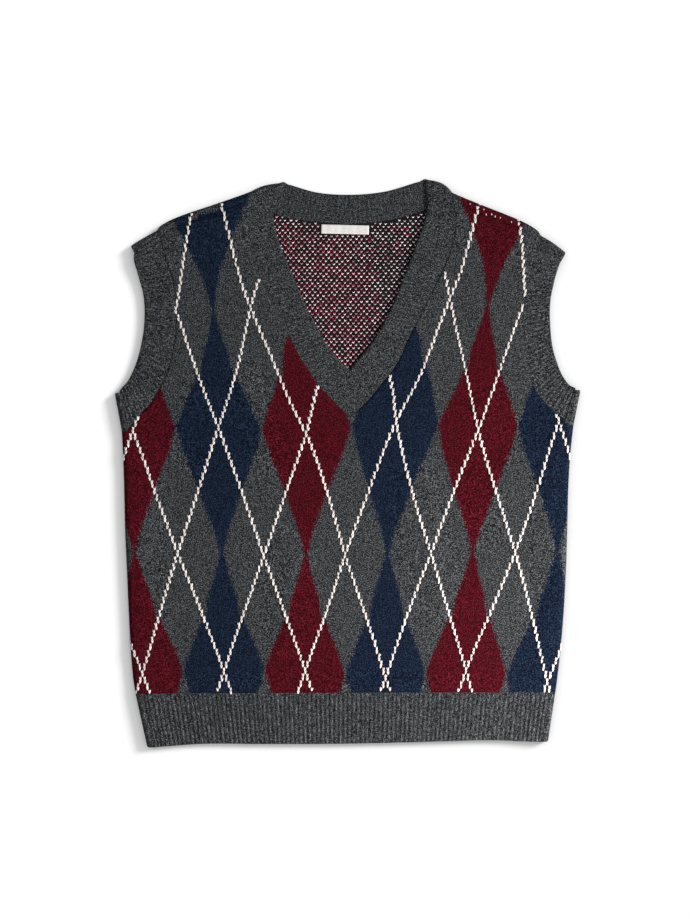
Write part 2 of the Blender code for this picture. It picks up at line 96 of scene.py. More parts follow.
# Bands, in millimetres
BAND_ROW = 3.4              # height of a row in the ribbed bands
RIB_SAMPLES = 6             # rows of points across one rib
EDGE_ROUND = 1.7            # how far in from a free edge the band is rounded
SEAM_ROUND = 0.35           # the same at a seam
ROUND_PLACES = (0.0, 0.1, 0.35, 0.65)   # where a rounded edge has points, as shares of its depth
SEAM_FULLNESS = 0.93        # how thick the band is at its seam, as a share of the wall
EDGE_FULLNESS = 0.12        # the same at its free edge
RIB_START = 3.0             # distance from a seam over which the ribs rise
RIB_BREADTH = 0.8           # below 1 a rib's crest is broader than its groove
RIB_FADE = 0.03             # share of a band's length over which its ribs end at a fold
MITRE_RIBS = 7              # ribs that end on the mitre at the point of the V
MITRE_ROWS = 3              # rows of the front's table whose neckband ends on the mitre
MITRE_FOOT = 0.4            # half the width of the neckband's point at the foot of the mitre
MITRE_DROP = 0.05           # how far the point's corners lie below its middle
PANEL_TIP = (3.0, 49.4)     # the front panel's point under the mitre
BAND_STEP = 4.0             # distance between the crossings that shape a band
NECK_RADII = (4.5, 3.7, 2.72)   # the shoulder fold's radius at the neckband's seam, middle and edge
NECK_EASE = (205.0, 75.0)   # the y from which the neckband eases to those, and over what distance

# Label, in millimetres
LABEL_SIZE = (50.5, 9.6, 0.7)
LABEL_CENTRE = (-2.7, 247.6)
LABEL_TURN = math.radians(-1.3)

# Argyle chart, in stitches
DIAMOND_WALES = 18          # half the width of a diamond
DIAMOND_ROWS = 36           # half the height of a diamond
SHOULDER_ROWS = 82, 97      # the rows over which the diamonds widen towards the shoulders
RED_FLARE = 1.5             # how many wales a burgundy diamond gains on each side there
NAVY_FLARE = 2.0            # how many more a navy one gains
SEAM_ROW = 94.4             # the row above which the middle of a navy diamond is grey
SEAM_SLOPE = 0.12           # how many rows that line rises with each wale
STRIP_WALES = 7             # half the width of the grey
STRAY_WALES = 4.0           # how far stray fibres reach over a diamond's edge, both ways together
FIRST_COLUMN = -90          # the wale through the leftmost column of coloured diamonds
LAST_WALE = 100             # beyond this a line is behind the side folds
DASH_ROWS = 2               # rows that a diagonal line climbs before it moves by a wale
DIAMOND_EDGE = (            # rows up from a coloured diamond's lower tip, and its half width there
    (0.0, 0.6), (6.5, 2.9), (11.3, 5.5), (20.5, 10.3), (28.9, 15.0), (36.0, 18.0), (39.3, 16.2),
    (44.0, 13.8), (48.2, 11.2), (51.8, 9.2), (52.1, 7.4), (56.0, 6.8), (58.0, 6.2), (60.7, 5.3),
    (64.0, 3.6), (68.2, 2.1), (72.0, 0.6),
)


def table(kind, *rows):
    """Rows of numbers as named ones."""
    return tuple(kind(*row) for row in rows)


# Where crossings of the chart lie on the flat front.
Crossing = namedtuple("Crossing", "u v x y")
CROSSINGS = table(
    Crossing,
    (-90, -36, -217.0, -222.0), (-54, -36, -131.0, -220.0), (-18, -36, -45.0, -219.0),
    (18, -36, 40.0, -227.0), (54, -36, 125.0, -219.0), (90, -36, 211.0, -231.0),
    (-90, 0, -225.0, -95.0), (-72, 0, -180.0, -95.0), (-54, 0, -133.0, -96.0),
    (-36, 0, -89.0, -98.0), (-18, 0, -44.0, -98.0), (0, 0, -3.0, -97.0),
    (18, 0, 42.0, -96.0), (36, 0, 88.0, -95.0), (54, 0, 132.0, -95.0),
    (72, 0, 177.0, -94.0), (90, 0, 222.0, -94.0), (-90, 36, -227.0, 35.0),
    (-54, 36, -137.0, 38.0), (-18, 36, -44.0, 31.0), (18, 36, 51.0, 45.0),
    (54, 36, 138.0, 35.0), (90, 36, 223.0, 45.0), (-26, 52, -71.0, 89.0),
    (-11, 50, -32.0, 82.0), (12, 48, 45.0, 90.0), (-72, 72, -182.0, 162.0),
    (-54, 72, -142.0, 159.0), (-36, 72, -103.0, 165.0), (-32, 80, -94.0, 195.0),
    (32, 80, 101.0, 207.0), (36, 72, 108.0, 175.0), (54, 72, 148.0, 166.0),
    (72, 72, 188.0, 173.0), (-60, 96, -165.0, 265.0), (-48, 96, -133.0, 271.0),
    (47, 94, 137.0, 268.0), (62, 92, 181.0, 255.0),
)

# Both panels below the armholes: the side folds, and the height of the section on the middle line.
BodyRow = namedtuple("BodyRow", "left_x left_y right_x right_y centre_y")
BODY = table(
    BodyRow,
    (-224.5, -243.5, 220.0, -242.0, -242.5),
    (-226.5, -231.0, 221.5, -231.0, -231.0),
    (-229.0, -205.0, 224.5, -205.0, -205.0),
    (-231.5, -160.0, 228.5, -160.0, -160.0),
    (-233.5, -115.0, 231.0, -115.0, -115.0),
    (-235.5, -70.0, 232.5, -70.0, -70.0),
    (-236.5, -28.0, 233.5, -28.0, -28.0),
    (-237.5, 5.0, 235.5, 7.0, 3.0),
    (-239.0, 34.0, 239.0, 40.0, 31.0),
)

# One half of the front from the underarm to the shoulder. Each row crosses the armhole band's free
# edge, the armhole seam, the neck seam and the neckband's free edge. The neckband's first three
# rows end on the mitre.
FrontRow = namedtuple("FrontRow", "arm_x arm_y seam_x seam_y neck_x neck_y band_x band_y")
FRONT_LEFT = table(
    FrontRow,
    (-240.0, 78.5, -227.6, 41.8, 3.0, 48.0, 3.1, 49.6),
    (-234.0, 85.0, -219.0, 52.0, -12.5, 63.0, 3.0, 78.5),
    (-228.5, 94.5, -207.0, 66.0, -22.0, 74.0, 2.6, 99.0),
    (-224.5, 104.0, -199.0, 80.0, -31.0, 82.5, -5.0, 105.5),
    (-221.0, 115.0, -191.5, 97.0, -40.0, 97.0, -12.5, 113.5),
    (-218.5, 125.0, -187.5, 110.0, -50.0, 111.5, -21.0, 124.0),
    (-216.0, 139.5, -183.5, 128.0, -60.5, 133.0, -33.0, 146.0),
    (-215.0, 152.0, -182.0, 145.0, -71.5, 154.0, -42.5, 163.5),
    (-215.0, 166.5, -182.0, 163.0, -83.5, 176.5, -53.0, 187.0),
    (-216.5, 180.0, -183.0, 180.0, -94.0, 197.5, -62.5, 209.0),
    (-219.5, 191.5, -186.5, 196.0, -100.5, 215.0, -69.5, 226.0),
    (-223.0, 204.0, -190.5, 210.0, -104.0, 230.0, -74.0, 238.5),
    (-225.5, 212.0, -193.5, 220.5, -105.0, 247.0, -77.0, 251.0),
    (-226.2, 218.0, -196.3, 230.0, -104.0, 264.0, -78.3, 269.0),
)
FRONT_RIGHT = table(
    FrontRow,
    (241.0, 79.5, 228.3, 46.2, 3.0, 48.0, 3.1, 49.6),
    (235.0, 82.5, 219.0, 54.5, 19.0, 64.0, 3.0, 78.5),
    (229.0, 90.0, 208.5, 64.0, 29.0, 75.5, 2.6, 99.0),
    (225.0, 97.5, 200.5, 75.0, 36.0, 84.0, 9.0, 107.0),
    (221.0, 108.5, 194.5, 87.0, 44.5, 94.5, 16.0, 115.5),
    (218.0, 118.0, 190.5, 101.0, 54.0, 109.0, 25.0, 126.5),
    (215.5, 132.0, 187.0, 120.0, 64.0, 131.5, 33.5, 140.0),
    (214.5, 146.0, 185.5, 137.0, 75.0, 153.5, 43.5, 159.0),
    (214.0, 160.0, 185.0, 156.0, 85.5, 174.5, 53.0, 180.5),
    (215.0, 175.0, 186.5, 173.5, 95.5, 195.0, 61.0, 200.5),
    (217.5, 187.0, 190.0, 191.0, 103.5, 212.5, 68.0, 219.0),
    (220.0, 198.0, 194.0, 206.0, 109.5, 229.0, 74.5, 237.0),
    (222.5, 206.0, 196.5, 215.5, 113.0, 245.0, 80.0, 252.0),
    (224.5, 211.5, 198.7, 225.0, 113.5, 262.0, 84.0, 270.0),
)

# The back's sections start on the same armhole points, and end on the middle line or the neck seam.
# From the middle of the neck on, each row also gives the neckband's free edge; bow is its share of
# the shoulder's curve.
BackRow = namedtuple("BackRow", "neck_x neck_y band_x band_y bow")
BACK_CENTRE = (48.0, 62.0, 77.0, 92.0, 108.0, 124.0, 143.0, 163.0, 185.0, 208.0, 231.0)
BACK_NECK_LEFT = (
    BackRow(CENTRE_X, 253.5, CENTRE_X, 284.5, 0.2),
    BackRow(-40.0, 256.5, -33.0, 287.0, 0.45),
    BackRow(-77.0, 264.5, -61.0, 295.0, 0.75),
)
BACK_NECK_RIGHT = (
    BackRow(CENTRE_X, 253.5, CENTRE_X, 284.5, 0.2),
    BackRow(47.0, 258.0, 40.0, 288.0, 0.45),
    BackRow(86.0, 269.5, 73.0, 297.6, 0.75),
)

# Where the cloth turns over the shoulder: the fold's points, with the way in from each.
FoldPoint = namedtuple("FoldPoint", "x y inward_x inward_y")
Shoulder = namedtuple("Shoulder", "arm_free arm_middle arm_seam neck_seam neck_middle neck_free")
SHOULDER_LEFT = Shoulder(
    FoldPoint(-229.5, 230.0, 0.45, -0.89),
    FoldPoint(-216.0, 238.5, 0.45, -0.89),
    FoldPoint(-202.0, 246.0, 0.45, -0.89),
    FoldPoint(-101.5, 288.0, 0.1, -0.995),
    FoldPoint(-86.5, 294.5, 0.0, -1.0),
    FoldPoint(-67.5, 296.4, -0.1, -0.995),
)
SHOULDER_RIGHT = Shoulder(
    FoldPoint(231.0, 222.5, -0.5, -0.866),
    FoldPoint(218.5, 232.5, -0.5, -0.866),
    FoldPoint(204.5, 241.0, -0.5, -0.866),
    FoldPoint(110.5, 286.5, 0.0, -1.0),
    FoldPoint(99.0, 296.8, 0.0, -1.0),
    FoldPoint(82.0, 299.6, 0.1, -0.995),
)

# The ends of the armhole bands on the side folds.
UNDERARM_LEFT = FoldPoint(-246.5, 74.5, 1.0, 0.0)
UNDERARM_RIGHT = FoldPoint(246.5, 77.5, -1.0, 0.0)

# The hem from its left fold to its right one: a point on the seam, and one on the lower edge.
HemRow = namedtuple("HemRow", "seam_x edge_x edge_y")
HEM = table(
    HemRow,
    (-203.0, -192.5, -299.5),
    (-164.0, -156.5, -297.0),
    (-97.0, -93.0, -297.0),
    (-30.0, -29.5, -297.0),
    (57.0, 55.5, -295.5),
    (112.0, 108.5, -294.0),
    (156.0, 151.0, -293.0),
    (199.0, 193.0, -294.5),
)
HEM_CORNER_LEFT = FoldPoint(-212.0, -300.5, 1.0, 0.0)
HEM_CORNER_RIGHT = FoldPoint(212.0, -294.5, -1.0, 0.0)

# The two halves of the vest. side is -1 on the left and 1 on the right, and folds are the points of
# the side fold on the body's rows.
Half = namedtuple("Half", "side folds rows shoulder back_neck underarm hem_corner")
LEFT = Half(-1.0, tuple(FoldPoint(row.left_x, row.left_y, 1.0, 0.0) for row in BODY),
            FRONT_LEFT, SHOULDER_LEFT, BACK_NECK_LEFT, UNDERARM_LEFT, HEM_CORNER_LEFT)
RIGHT = Half(1.0, tuple(FoldPoint(row.right_x, row.right_y, -1.0, 0.0) for row in BODY),
             FRONT_RIGHT, SHOULDER_RIGHT, BACK_NECK_RIGHT, UNDERARM_RIGHT, HEM_CORNER_RIGHT)
HALVES = (LEFT, RIGHT)

# Soft ridges and troughs of the front layer, each along a straight line.
Crease = namedtuple("Crease", "start_x start_y end_x end_y width height")
CREASES = table(
    Crease,
    (-205.0, 52.0, -138.0, -22.0, 15.0, -0.7),
    (-182.0, 88.0, -128.0, 38.0, 13.0, 0.6),
    (206.0, 58.0, 132.0, -6.0, 16.0, -0.7),
    (176.0, 92.0, 118.0, 30.0, 14.0, 0.6),
    (-122.0, 120.0, -66.0, -34.0, 22.0, 0.7),
    (62.0, 10.0, 105.0, -175.0, 20.0, 2.0),
    (135.0, 50.0, 150.0, -110.0, 26.0, -0.6),
    (-60.0, -60.0, -66.0, -210.0, 18.0, 1.7),
    (-210.0, -231.0, 205.0, -229.0, 8.0, 0.7),
)


# --- what a user can change ----------------------------------------------------------------------

def length(name, description, default, low=0.0):
    """A size in metres, given in millimetres."""
    return bpy.props.FloatProperty(
        name=name, description=description, default=default * MM, min=low * MM, precision=5,
        subtype="DISTANCE", unit="LENGTH",
    )


def colour(name, description, default):
    """A linear colour."""
    return bpy.props.FloatVectorProperty(
        name=name, description=description, default=default, min=0.0, max=1.0, size=3,
        subtype="COLOR",
    )


class VestKnit(bpy.types.PropertyGroup):
    """Sizes of the knitting."""

    ridge: length("Wale ridge", "Height of a wale over the grooves beside it", 0.12)
    rib_pitch: length("Rib pitch", "Width of one rib and its groove", 4.7, 1.0)
    hem_rib: length("Hem rib height", "Height of the hem's ribs", 0.8)
    band_rib: length("Band rib height", "Height of the ribs of the armhole bands", 0.65)
    neck_rib: length("Neckband rib height", "Height of the neckband's ribs", 0.25)
    yarn: length("Line yarn", "Thickness of the yarn of the diagonal lines", 1.0, 0.1)
    stitch_relief: length("Stitch relief", "Depth of the stitches in the materials", 0.35)


class VestColours(bpy.types.PropertyGroup):
    """Colours of the yarns, each as its dark and its light fibres."""

    charcoal_dark: colour("Charcoal, dark", "Dark fibres of the ground", (0.0026, 0.0033, 0.0039))
    charcoal_light: colour("Charcoal, light", "Light fibres of the ground", (0.0785, 0.0865, 0.094))
    navy_dark: colour("Navy, dark", "Dark fibres of the navy diamonds", (0.0006, 0.0015, 0.0052))
    navy_light: colour("Navy, light", "Light fibres of the navy diamonds", (0.0122, 0.023, 0.0451))
    red_dark: colour("Burgundy, dark", "Dark fibres of the burgundy", (0.011, 0.0003, 0.0009))
    red_light: colour("Burgundy, light", "Light fibres of the burgundy", (0.088, 0.0062, 0.0136))
    cream: colour("Cream", "Yarn of the diagonal lines", (0.55, 0.515, 0.50))
    inside: colour("Inside ground", "Ground of the inside of the knit", (0.006, 0.005, 0.006))
    label: colour("Label", "Woven label", (0.48, 0.465, 0.46))


class VestStage(bpy.types.PropertyGroup):
    """The floor and the light."""

    floor: colour("Floor", "Floor", (0.90, 0.90, 0.90))
    fill: bpy.props.FloatProperty(
        name="Fill light", description="Brightness of the light from all round", default=0.76,
        min=0.0,
    )
    key: bpy.props.FloatProperty(
        name="Key light", description="Strength of the broad light from the right", default=3.0,
        min=0.0,
    )
    near: bpy.props.FloatProperty(
        name="Near light", description="Power of the small light close to the right side",
        default=25.0, min=0.0, subtype="POWER", unit="POWER",
    )


# --- where the cloth lies ------------------------------------------------------------------------

# A point of the cloth is a row of eight numbers: its inner point, the way out through the wall, and
# its place on the cloth laid out flat. Functions take and return arrays of such rows.
INNER = slice(0, 3)
OUTWARD = slice(3, 6)
FLAT = slice(6, 8)


def smooth(value):
    """An S-curve from 0 to 1."""
    value = np.clip(value, 0.0, 1.0)
    return value * value * (3.0 - 2.0 * value)


def through(points, knots, places):
    """A smooth curve that passes through points at its knots, read at places."""
    points, knots = np.asarray(points, float), np.asarray(knots, float)
    values = points.reshape(len(points), -1)
    gaps = np.diff(knots)[:, None]
    slopes = np.diff(values, axis=0) / gaps
    tangents = np.empty_like(values)
    tangents[1:-1] = (slopes[:-1] * gaps[1:] + slopes[1:] * gaps[:-1]) / (gaps[1:] + gaps[:-1])
    tangents[0], tangents[-1] = slopes[0], slopes[-1]
    if len(points) > 2:
        tangents[0] = 1.5 * slopes[0] - 0.5 * tangents[1]
        tangents[-1] = 1.5 * slopes[-1] - 0.5 * tangents[-2]
    span = np.clip(np.searchsorted(knots, places, side="right") - 1, 0, len(gaps) - 1)
    gap = gaps[span]
    t = (np.asarray(places)[:, None] - knots[span][:, None]) / gap
    result = (2 * t ** 3 - 3 * t ** 2 + 1) * values[span]
    result += (t ** 3 - 2 * t ** 2 + t) * gap * tangents[span]
    result += (3 * t ** 2 - 2 * t ** 3) * values[span + 1]
    result += (t ** 3 - t ** 2) * gap * tangents[span + 1]
    return result.reshape((len(places),) + points.shape[1:])


def curve(points, step):
    """A smooth line through points, as points about a step apart."""
    points = np.asarray(points, float)
    knots = np.concatenate([[0.0], np.cumsum(np.linalg.norm(np.diff(points, axis=0), axis=1))])
    return through(points, knots, np.linspace(0.0, knots[-1], max(2, round(knots[-1] / step) + 1)))


def side_fold_x(y, half):
    """The x of a side fold at a height."""
    heights, places = np.array([(fold.y, fold.x) for fold in half.folds]).T
    y = np.clip(np.asarray(y, float), heights[0], heights[-1])
    return through(places[:, None], heights, y.ravel())[:, 0].reshape(y.shape)


def shoulder_distance(x, y, shoulder):
    """How far a point lies inside a shoulder fold."""
    start, end = shoulder.arm_free, shoulder.neck_free
    along = np.array([end.x - start.x, end.y - start.y])
    along /= np.linalg.norm(along)
    return np.abs(along[0] * (y - start.y) - along[1] * (x - start.x))


def crease_height(x, y):
    """The ridges' and troughs' height at a point, each one fading to its ends and sides."""
    height = np.zeros(np.broadcast(x, y).shape)
    for crease in CREASES:
        along_x, along_y = crease.end_x - crease.start_x, crease.end_y - crease.start_y
        size = math.hypot(along_x, along_y)
        off_x, off_y = x - crease.start_x, y - crease.start_y
        place = np.clip((off_x * along_x + off_y * along_y) / size ** 2, 0.0, 1.0)
        away = (along_x * off_y - along_y * off_x) / size / crease.width
        height = height + crease.height * np.sin(np.pi * place) * np.exp(-away * away)
    return height


def front_height(x, y):
    """The height of the front layer's inner face: low in the middle, raised towards the folds."""
    x, y = np.broadcast_arrays(np.asarray(x, float), np.asarray(y, float))
    left = x < CENTRE_X
    underarm_y = np.where(left, LEFT.folds[-1].y, RIGHT.folds[-1].y)
    fold_x = np.where(left, side_fold_x(y, LEFT), side_fold_x(y, RIGHT))
    ease = FOLD_EASE - FOLD_RADIUS
    side = smooth(1.0 - (np.abs(x - fold_x) - FOLD_RADIUS) / ease)
    side = side * smooth(1.0 - (y - underarm_y) / ARMHOLE_FADE)
    inside = np.where(left, shoulder_distance(x, y, LEFT.shoulder),
                      shoulder_distance(x, y, RIGHT.shoulder))
    top = smooth(1.0 - (inside - FOLD_RADIUS) / ease)
    rise = np.maximum(side, top)
    fold_height = 2.0 * FOLD_RADIUS - WALL
    return LAY_HEIGHT + (fold_height - LAY_HEIGHT) * rise + crease_height(x, y) * (1.0 - rise)


def lay(x, y, layer):
    """Points of the front or back layer."""
    x, y = np.broadcast_arrays(np.asarray(x, float), np.asarray(y, float))
    zero = np.zeros(x.shape)
    if layer == FRONT:
        return np.stack([x, y, front_height(x, y), zero, zero, zero + 1.0, x, y], axis=-1)
    return np.stack([x, y, zero + WALL, zero, zero, zero - 1.0, x, y], axis=-1)


def turn(fold, degrees, radius=FOLD_RADIUS):
    """A point of the half-round fold: 0 is its top, 90 the outline and 180 the underside."""
    angle = math.radians(degrees)
    inward = np.array([fold.inward_x, fold.inward_y, 0.0])
    outward = np.array([0.0, 0.0, math.cos(angle)]) - inward * math.sin(angle)
    centre = np.array([fold.x, fold.y, radius]) + inward * radius
    inner = centre + outward * (radius - WALL)
    flat = np.array([fold.x, fold.y]) + inward[:2] * radius * (1.0 - min(angle, math.pi - angle))
    return np.concatenate([inner, outward, flat])


def turn_angles(start, end):
    """The angles of a fold's rows from one angle to another."""
    steps = round(abs(end - start) / 90.0 * FOLD_STEPS)
    return [start + (end - start) * step / steps for step in range(steps + 1)]


def drape(x, y):
    """Points of the front panel from flat ones: those past a side fold's top are rolled round
    it."""
    points = lay(x, y, FRONT)
    for half in HALVES:
        top = side_fold_x(y, half) - half.side * FOLD_RADIUS
        past = half.side * (x - top)
        rolled = (past > 0.0) & (y < half.folds[-1].y + UNDERARM_MARGIN)
        angle = np.where(rolled, past / FOLD_RADIUS, 0.0)
        sine, cosine = half.side * np.sin(angle), np.cos(angle)
        reach = FOLD_RADIUS - WALL
        points[..., 0] = np.where(rolled, top + sine * reach, points[..., 0])
        points[..., 2] = np.where(rolled, FOLD_RADIUS + cosine * reach, points[..., 2])
        points[..., 3] = np.where(rolled, sine, points[..., 3])
        points[..., 5] = np.where(rolled, cosine, points[..., 5])
    return points


# --- the stitch chart on the cloth ---------------------------------------------------------------

def bend(distance):
    """The kernel of a thin sheet that bends as little as it can."""
    squared = distance ** 2
    return np.where(squared > 0.0, squared * np.log(np.maximum(squared, 1e-9)), 0.0)


class StitchMap:
    """A smooth map from stitches to the flat cloth through the crossings, and back."""

    ROW = 1.44              # a row's height over a wale's width
    GIVE = 30.0             # more lets the map miss the crossings further to stay smooth
    MIDDLE = (-1.0, -97.0)  # a first guess at where stitch 0, 0 lies,
    WALE_WIDTH = 2.48       # at a wale's width
    ROW_HEIGHT = 3.6        # and at a row's height
    ROUNDS = 7              # how often the guess is made better

    def __init__(self, crossings):
        self.anchors = np.array([(c.u, c.v * self.ROW) for c in crossings], float)
        targets = np.array([(c.x, c.y) for c in crossings], float)
        count = len(crossings)
        system = np.zeros((count + 3, count + 3))
        gaps = np.linalg.norm(self.anchors[:, None] - self.anchors[None], axis=2)
        system[:count, :count] = bend(gaps) + np.eye(count) * self.GIVE
        system[:count, count] = 1.0
        system[:count, count + 1:] = self.anchors
        system[count:, :count] = system[:count, count:].T
        self.weights = np.linalg.solve(system, np.vstack([targets, np.zeros((3, 2))]))

    def place(self, u, v):
        """The flat x and y of stitches."""
        u, v = np.broadcast_arrays(np.asarray(u, float), np.asarray(v, float))
        spots = np.stack([u.ravel(), v.ravel() * self.ROW], axis=1)
        gaps = np.linalg.norm(spots[:, None] - self.anchors[None], axis=2)
        basis = np.hstack([bend(gaps), np.ones((len(spots), 1)), spots])
        x, y = (basis @ self.weights).T
        return x.reshape(u.shape), y.reshape(u.shape)

    def stitch(self, x, y):
        """The u and v of flat points, by Newton's method."""
        x, y = np.asarray(x, float), np.asarray(y, float)
        u = (x - self.MIDDLE[0]) / self.WALE_WIDTH
        v = (y - self.MIDDLE[1]) / self.ROW_HEIGHT
        for _ in range(self.ROUNDS):
            here_x, here_y = self.place(u, v)
            right_x, right_y = self.place(u + 0.5, v)
            up_x, up_y = self.place(u, v + 0.5)
            a, b = (right_x - here_x) * 2.0, (up_x - here_x) * 2.0
            c, d = (right_y - here_y) * 2.0, (up_y - here_y) * 2.0
            determinant = a * d - b * c
            off_x, off_y = x - here_x, y - here_y
            u = u + (d * off_x - b * off_y) / determinant
            v = v + (a * off_y - c * off_x) / determinant
        return u, v


CHART = StitchMap(CROSSINGS)


# --- panels --------------------------------------------------------------------------------------

PANEL_COLUMNS = 40          # steps across half of the back panel
POINT_STEPS = 30            # points along each side of the front panel's point under the mitre


def shoulder_curve(share):
    """The shoulder line's rise over a straight one, from the armhole (0) to the neck (1)."""
    return SHOULDER_RISE * np.sin(np.pi * np.sqrt(share)) * (1.0 - SHOULDER_LOSS * share)


def section(outer, inner, bow, layer):
    """A panel's section between two points of its cut, bowed up by a share of the shoulder's
    curve."""
    share = np.linspace(0.0, 1.0, PANEL_COLUMNS + 1)
    x = outer[0] + (inner[0] - outer[0]) * share
    y = outer[1] + (inner[1] - outer[1]) * share + bow * shoulder_curve(share)
    return lay(x, y, layer)


def shoulder_folds(shoulder):
    """The shoulder fold as a row of fold points from the armhole seam to the neck seam."""
    first, last = shoulder.arm_seam, shoulder.neck_seam
    folds = []
    for column in range(PANEL_COLUMNS + 1):
        share = column / PANEL_COLUMNS
        x, y, inward_x, inward_y = (a + (b - a) * share for a, b in zip(first, last))
        folds.append(FoldPoint(x, y + float(shoulder_curve(share)), inward_x, inward_y))
    return folds


def moved_in(fold, depth, layer):
    """A point of a layer at a depth inside a fold."""
    return lay(fold.x + fold.inward_x * depth, fold.y + fold.inward_y * depth, layer)


def shoulder_seam(folds):
    """The flat points of the shoulder seam in front of a row of fold points."""
    return [moved_in(fold, SHOULDER_SEAM_DEPTH, FRONT)[FLAT] for fold in folds]


def fold_tops(folds, radii=(FOLD_RADIUS,) * 3):
    """The flat points of a band where it begins to turn over a fold."""
    return [turn(fold, 0.0, radius)[FLAT] for fold, radius in zip(folds, radii)]


def fine_rows(rows, step):
    """Rows at small steps on the smooth surface through the given ones, which are kept."""
    rows = np.asarray(rows, float)
    gaps = np.linalg.norm(np.diff(rows, axis=0), axis=2).mean(axis=1)
    knots = np.concatenate([[0.0], np.cumsum(gaps)])
    places = [0.0]
    for start, end in zip(knots, knots[1:]):
        steps = max(1, round((end - start) / step))
        places += list(start + (end - start) * np.arange(1, steps + 1) / steps)
    return through(rows, knots, np.array(places))


def flat_row(seam_x, seam_y, free_x, free_y):
    """A band's flat row of seam, middle and free edge."""
    middle = (seam_x + free_x) / 2.0, (seam_y + free_y) / 2.0
    return [(seam_x, seam_y), middle, (free_x, free_y)]


def middle_fold(first, second):
    """The fold point halfway between two."""
    return FoldPoint(*((a + b) / 2.0 for a, b in zip(first, second)))


def armhole_folds(half):
    """An armhole band's fold points from seam to free edge, at the underarm and at the shoulder."""
    seam_end, shoulder = half.folds[-1], half.shoulder
    underarm = seam_end, middle_fold(seam_end, half.underarm), half.underarm
    return underarm, (shoulder.arm_seam, shoulder.arm_middle, shoulder.arm_free)


def armhole_rows(half):
    """An armhole band's flat rows of seam, middle and free edge, from the underarm's fold to the
    shoulder seam, and on to the shoulder's fold."""
    underarm, top = armhole_folds(half)
    rows = [fold_tops(underarm)]
    rows += [flat_row(row.seam_x, row.seam_y, row.arm_x, row.arm_y) for row in half.rows]
    rows.append(shoulder_seam(top))
    return fine_rows(rows, BAND_STEP), np.array([rows[-1], fold_tops(top)])


def neck_folds(half):
    """The neckband's fold points from seam to free edge."""
    return half.shoulder.neck_seam, half.shoulder.neck_middle, half.shoulder.neck_free


def neck_row(row):
    """The neckband's flat row on a row of the front or the back."""
    return flat_row(row.neck_x, row.neck_y, row.band_x, row.band_y)


def neck_rows(half):
    """The neckband's flat rows of seam, middle and free edge, from the mitre's top to the shoulder
    seam, and on to the shoulder's fold."""
    folds = neck_folds(half)
    rows = [neck_row(row) for row in half.rows[MITRE_ROWS - 1:]]
    rows.append(shoulder_seam(folds))
    return fine_rows(rows, BAND_STEP), np.array([rows[-1], fold_tops(folds, NECK_RADII)])


def front_outline(step):
    """The front panel's cut as a closed line of flat points."""
    line = []
    for half in (RIGHT, LEFT):
        rolled = [(fold.x + half.side * FOLD_ROLL, fold.y) for fold in half.folds]
        tip = half.folds[-1]
        point = [(row.neck_x, row.neck_y) for row in half.rows[MITRE_ROWS - 1:0:-1]] + [PANEL_TIP]
        parts = [
            curve([(CENTRE_X, BODY[0].centre_y), rolled[0]], step),
            curve(rolled, step),
            curve([rolled[-1], (tip.x - half.side * FOLD_RADIUS, tip.y)], step),
            curve(armhole_rows(half)[0][:, 0], step),
            curve(shoulder_seam(shoulder_folds(half.shoulder)), step),
            curve(neck_rows(half)[0][::-1, 0], step),
            through(point, [0.0, 1.0, 2.0], np.linspace(0.0, 2.0, POINT_STEPS)),
        ]
        cut = np.concatenate([part[:-1] for part in parts] + [parts[-1][-1:]])
        line.append(cut if half is RIGHT else cut[::-1])
    return np.concatenate([line[0][:-1], line[1][:-1]])


# --- ribbed bands --------------------------------------------------------------------------------

# A band is given as crossings: from its seam, over its middle, to its free edge.

def drawn_back(crossing):
    """A crossing whose first point leaves the seam's gap to the next piece."""
    crossing = np.array(crossing)
    way = crossing[1, INNER] - crossing[0, INNER]
    crossing[0, INNER] += way / np.linalg.norm(way) * SEAM_GAP
    return crossing


def laid_crossings(rows, layer):
    """Crossings on the front or back layer from flat rows."""
    return [drawn_back(lay(row[:, 0], row[:, 1], layer)) for row in rows]


def turned_crossings(folds, start, end, radii=(FOLD_RADIUS,) * 3):
    """A band's crossings where it turns over a fold."""
    return [
        drawn_back([turn(fold, angle, radius) for fold, radius in zip(folds, radii)])
        for angle in turn_angles(start, end)
    ]


def quarter_round(share):
    """How full a rounded edge is at a share of its depth."""
    return np.sqrt(1.0 - (1.0 - np.clip(share, 0.0, 1.0)) ** 2)


def cross_profile(width):
    """Shares of a band's width where it gets points, and how full the wall is at each."""
    rounded = np.array(ROUND_PLACES)
    seam, free = rounded * SEAM_ROUND, rounded * EDGE_ROUND
    middle = np.linspace(SEAM_ROUND, width - EDGE_ROUND,
                         2 + round((width - SEAM_ROUND - EDGE_ROUND) / BAND_ROW * 2))
    places = np.concatenate([seam, middle, width - free[::-1]])
    at_seam = SEAM_FULLNESS + (1.0 - SEAM_FULLNESS) * quarter_round(places / SEAM_ROUND)
    at_edge = quarter_round((width - places) / EDGE_ROUND)
    return places / width, np.minimum(at_seam, np.maximum(at_edge, EDGE_FULLNESS))


Patch = namedtuple("Patch", "inner outer stitches")


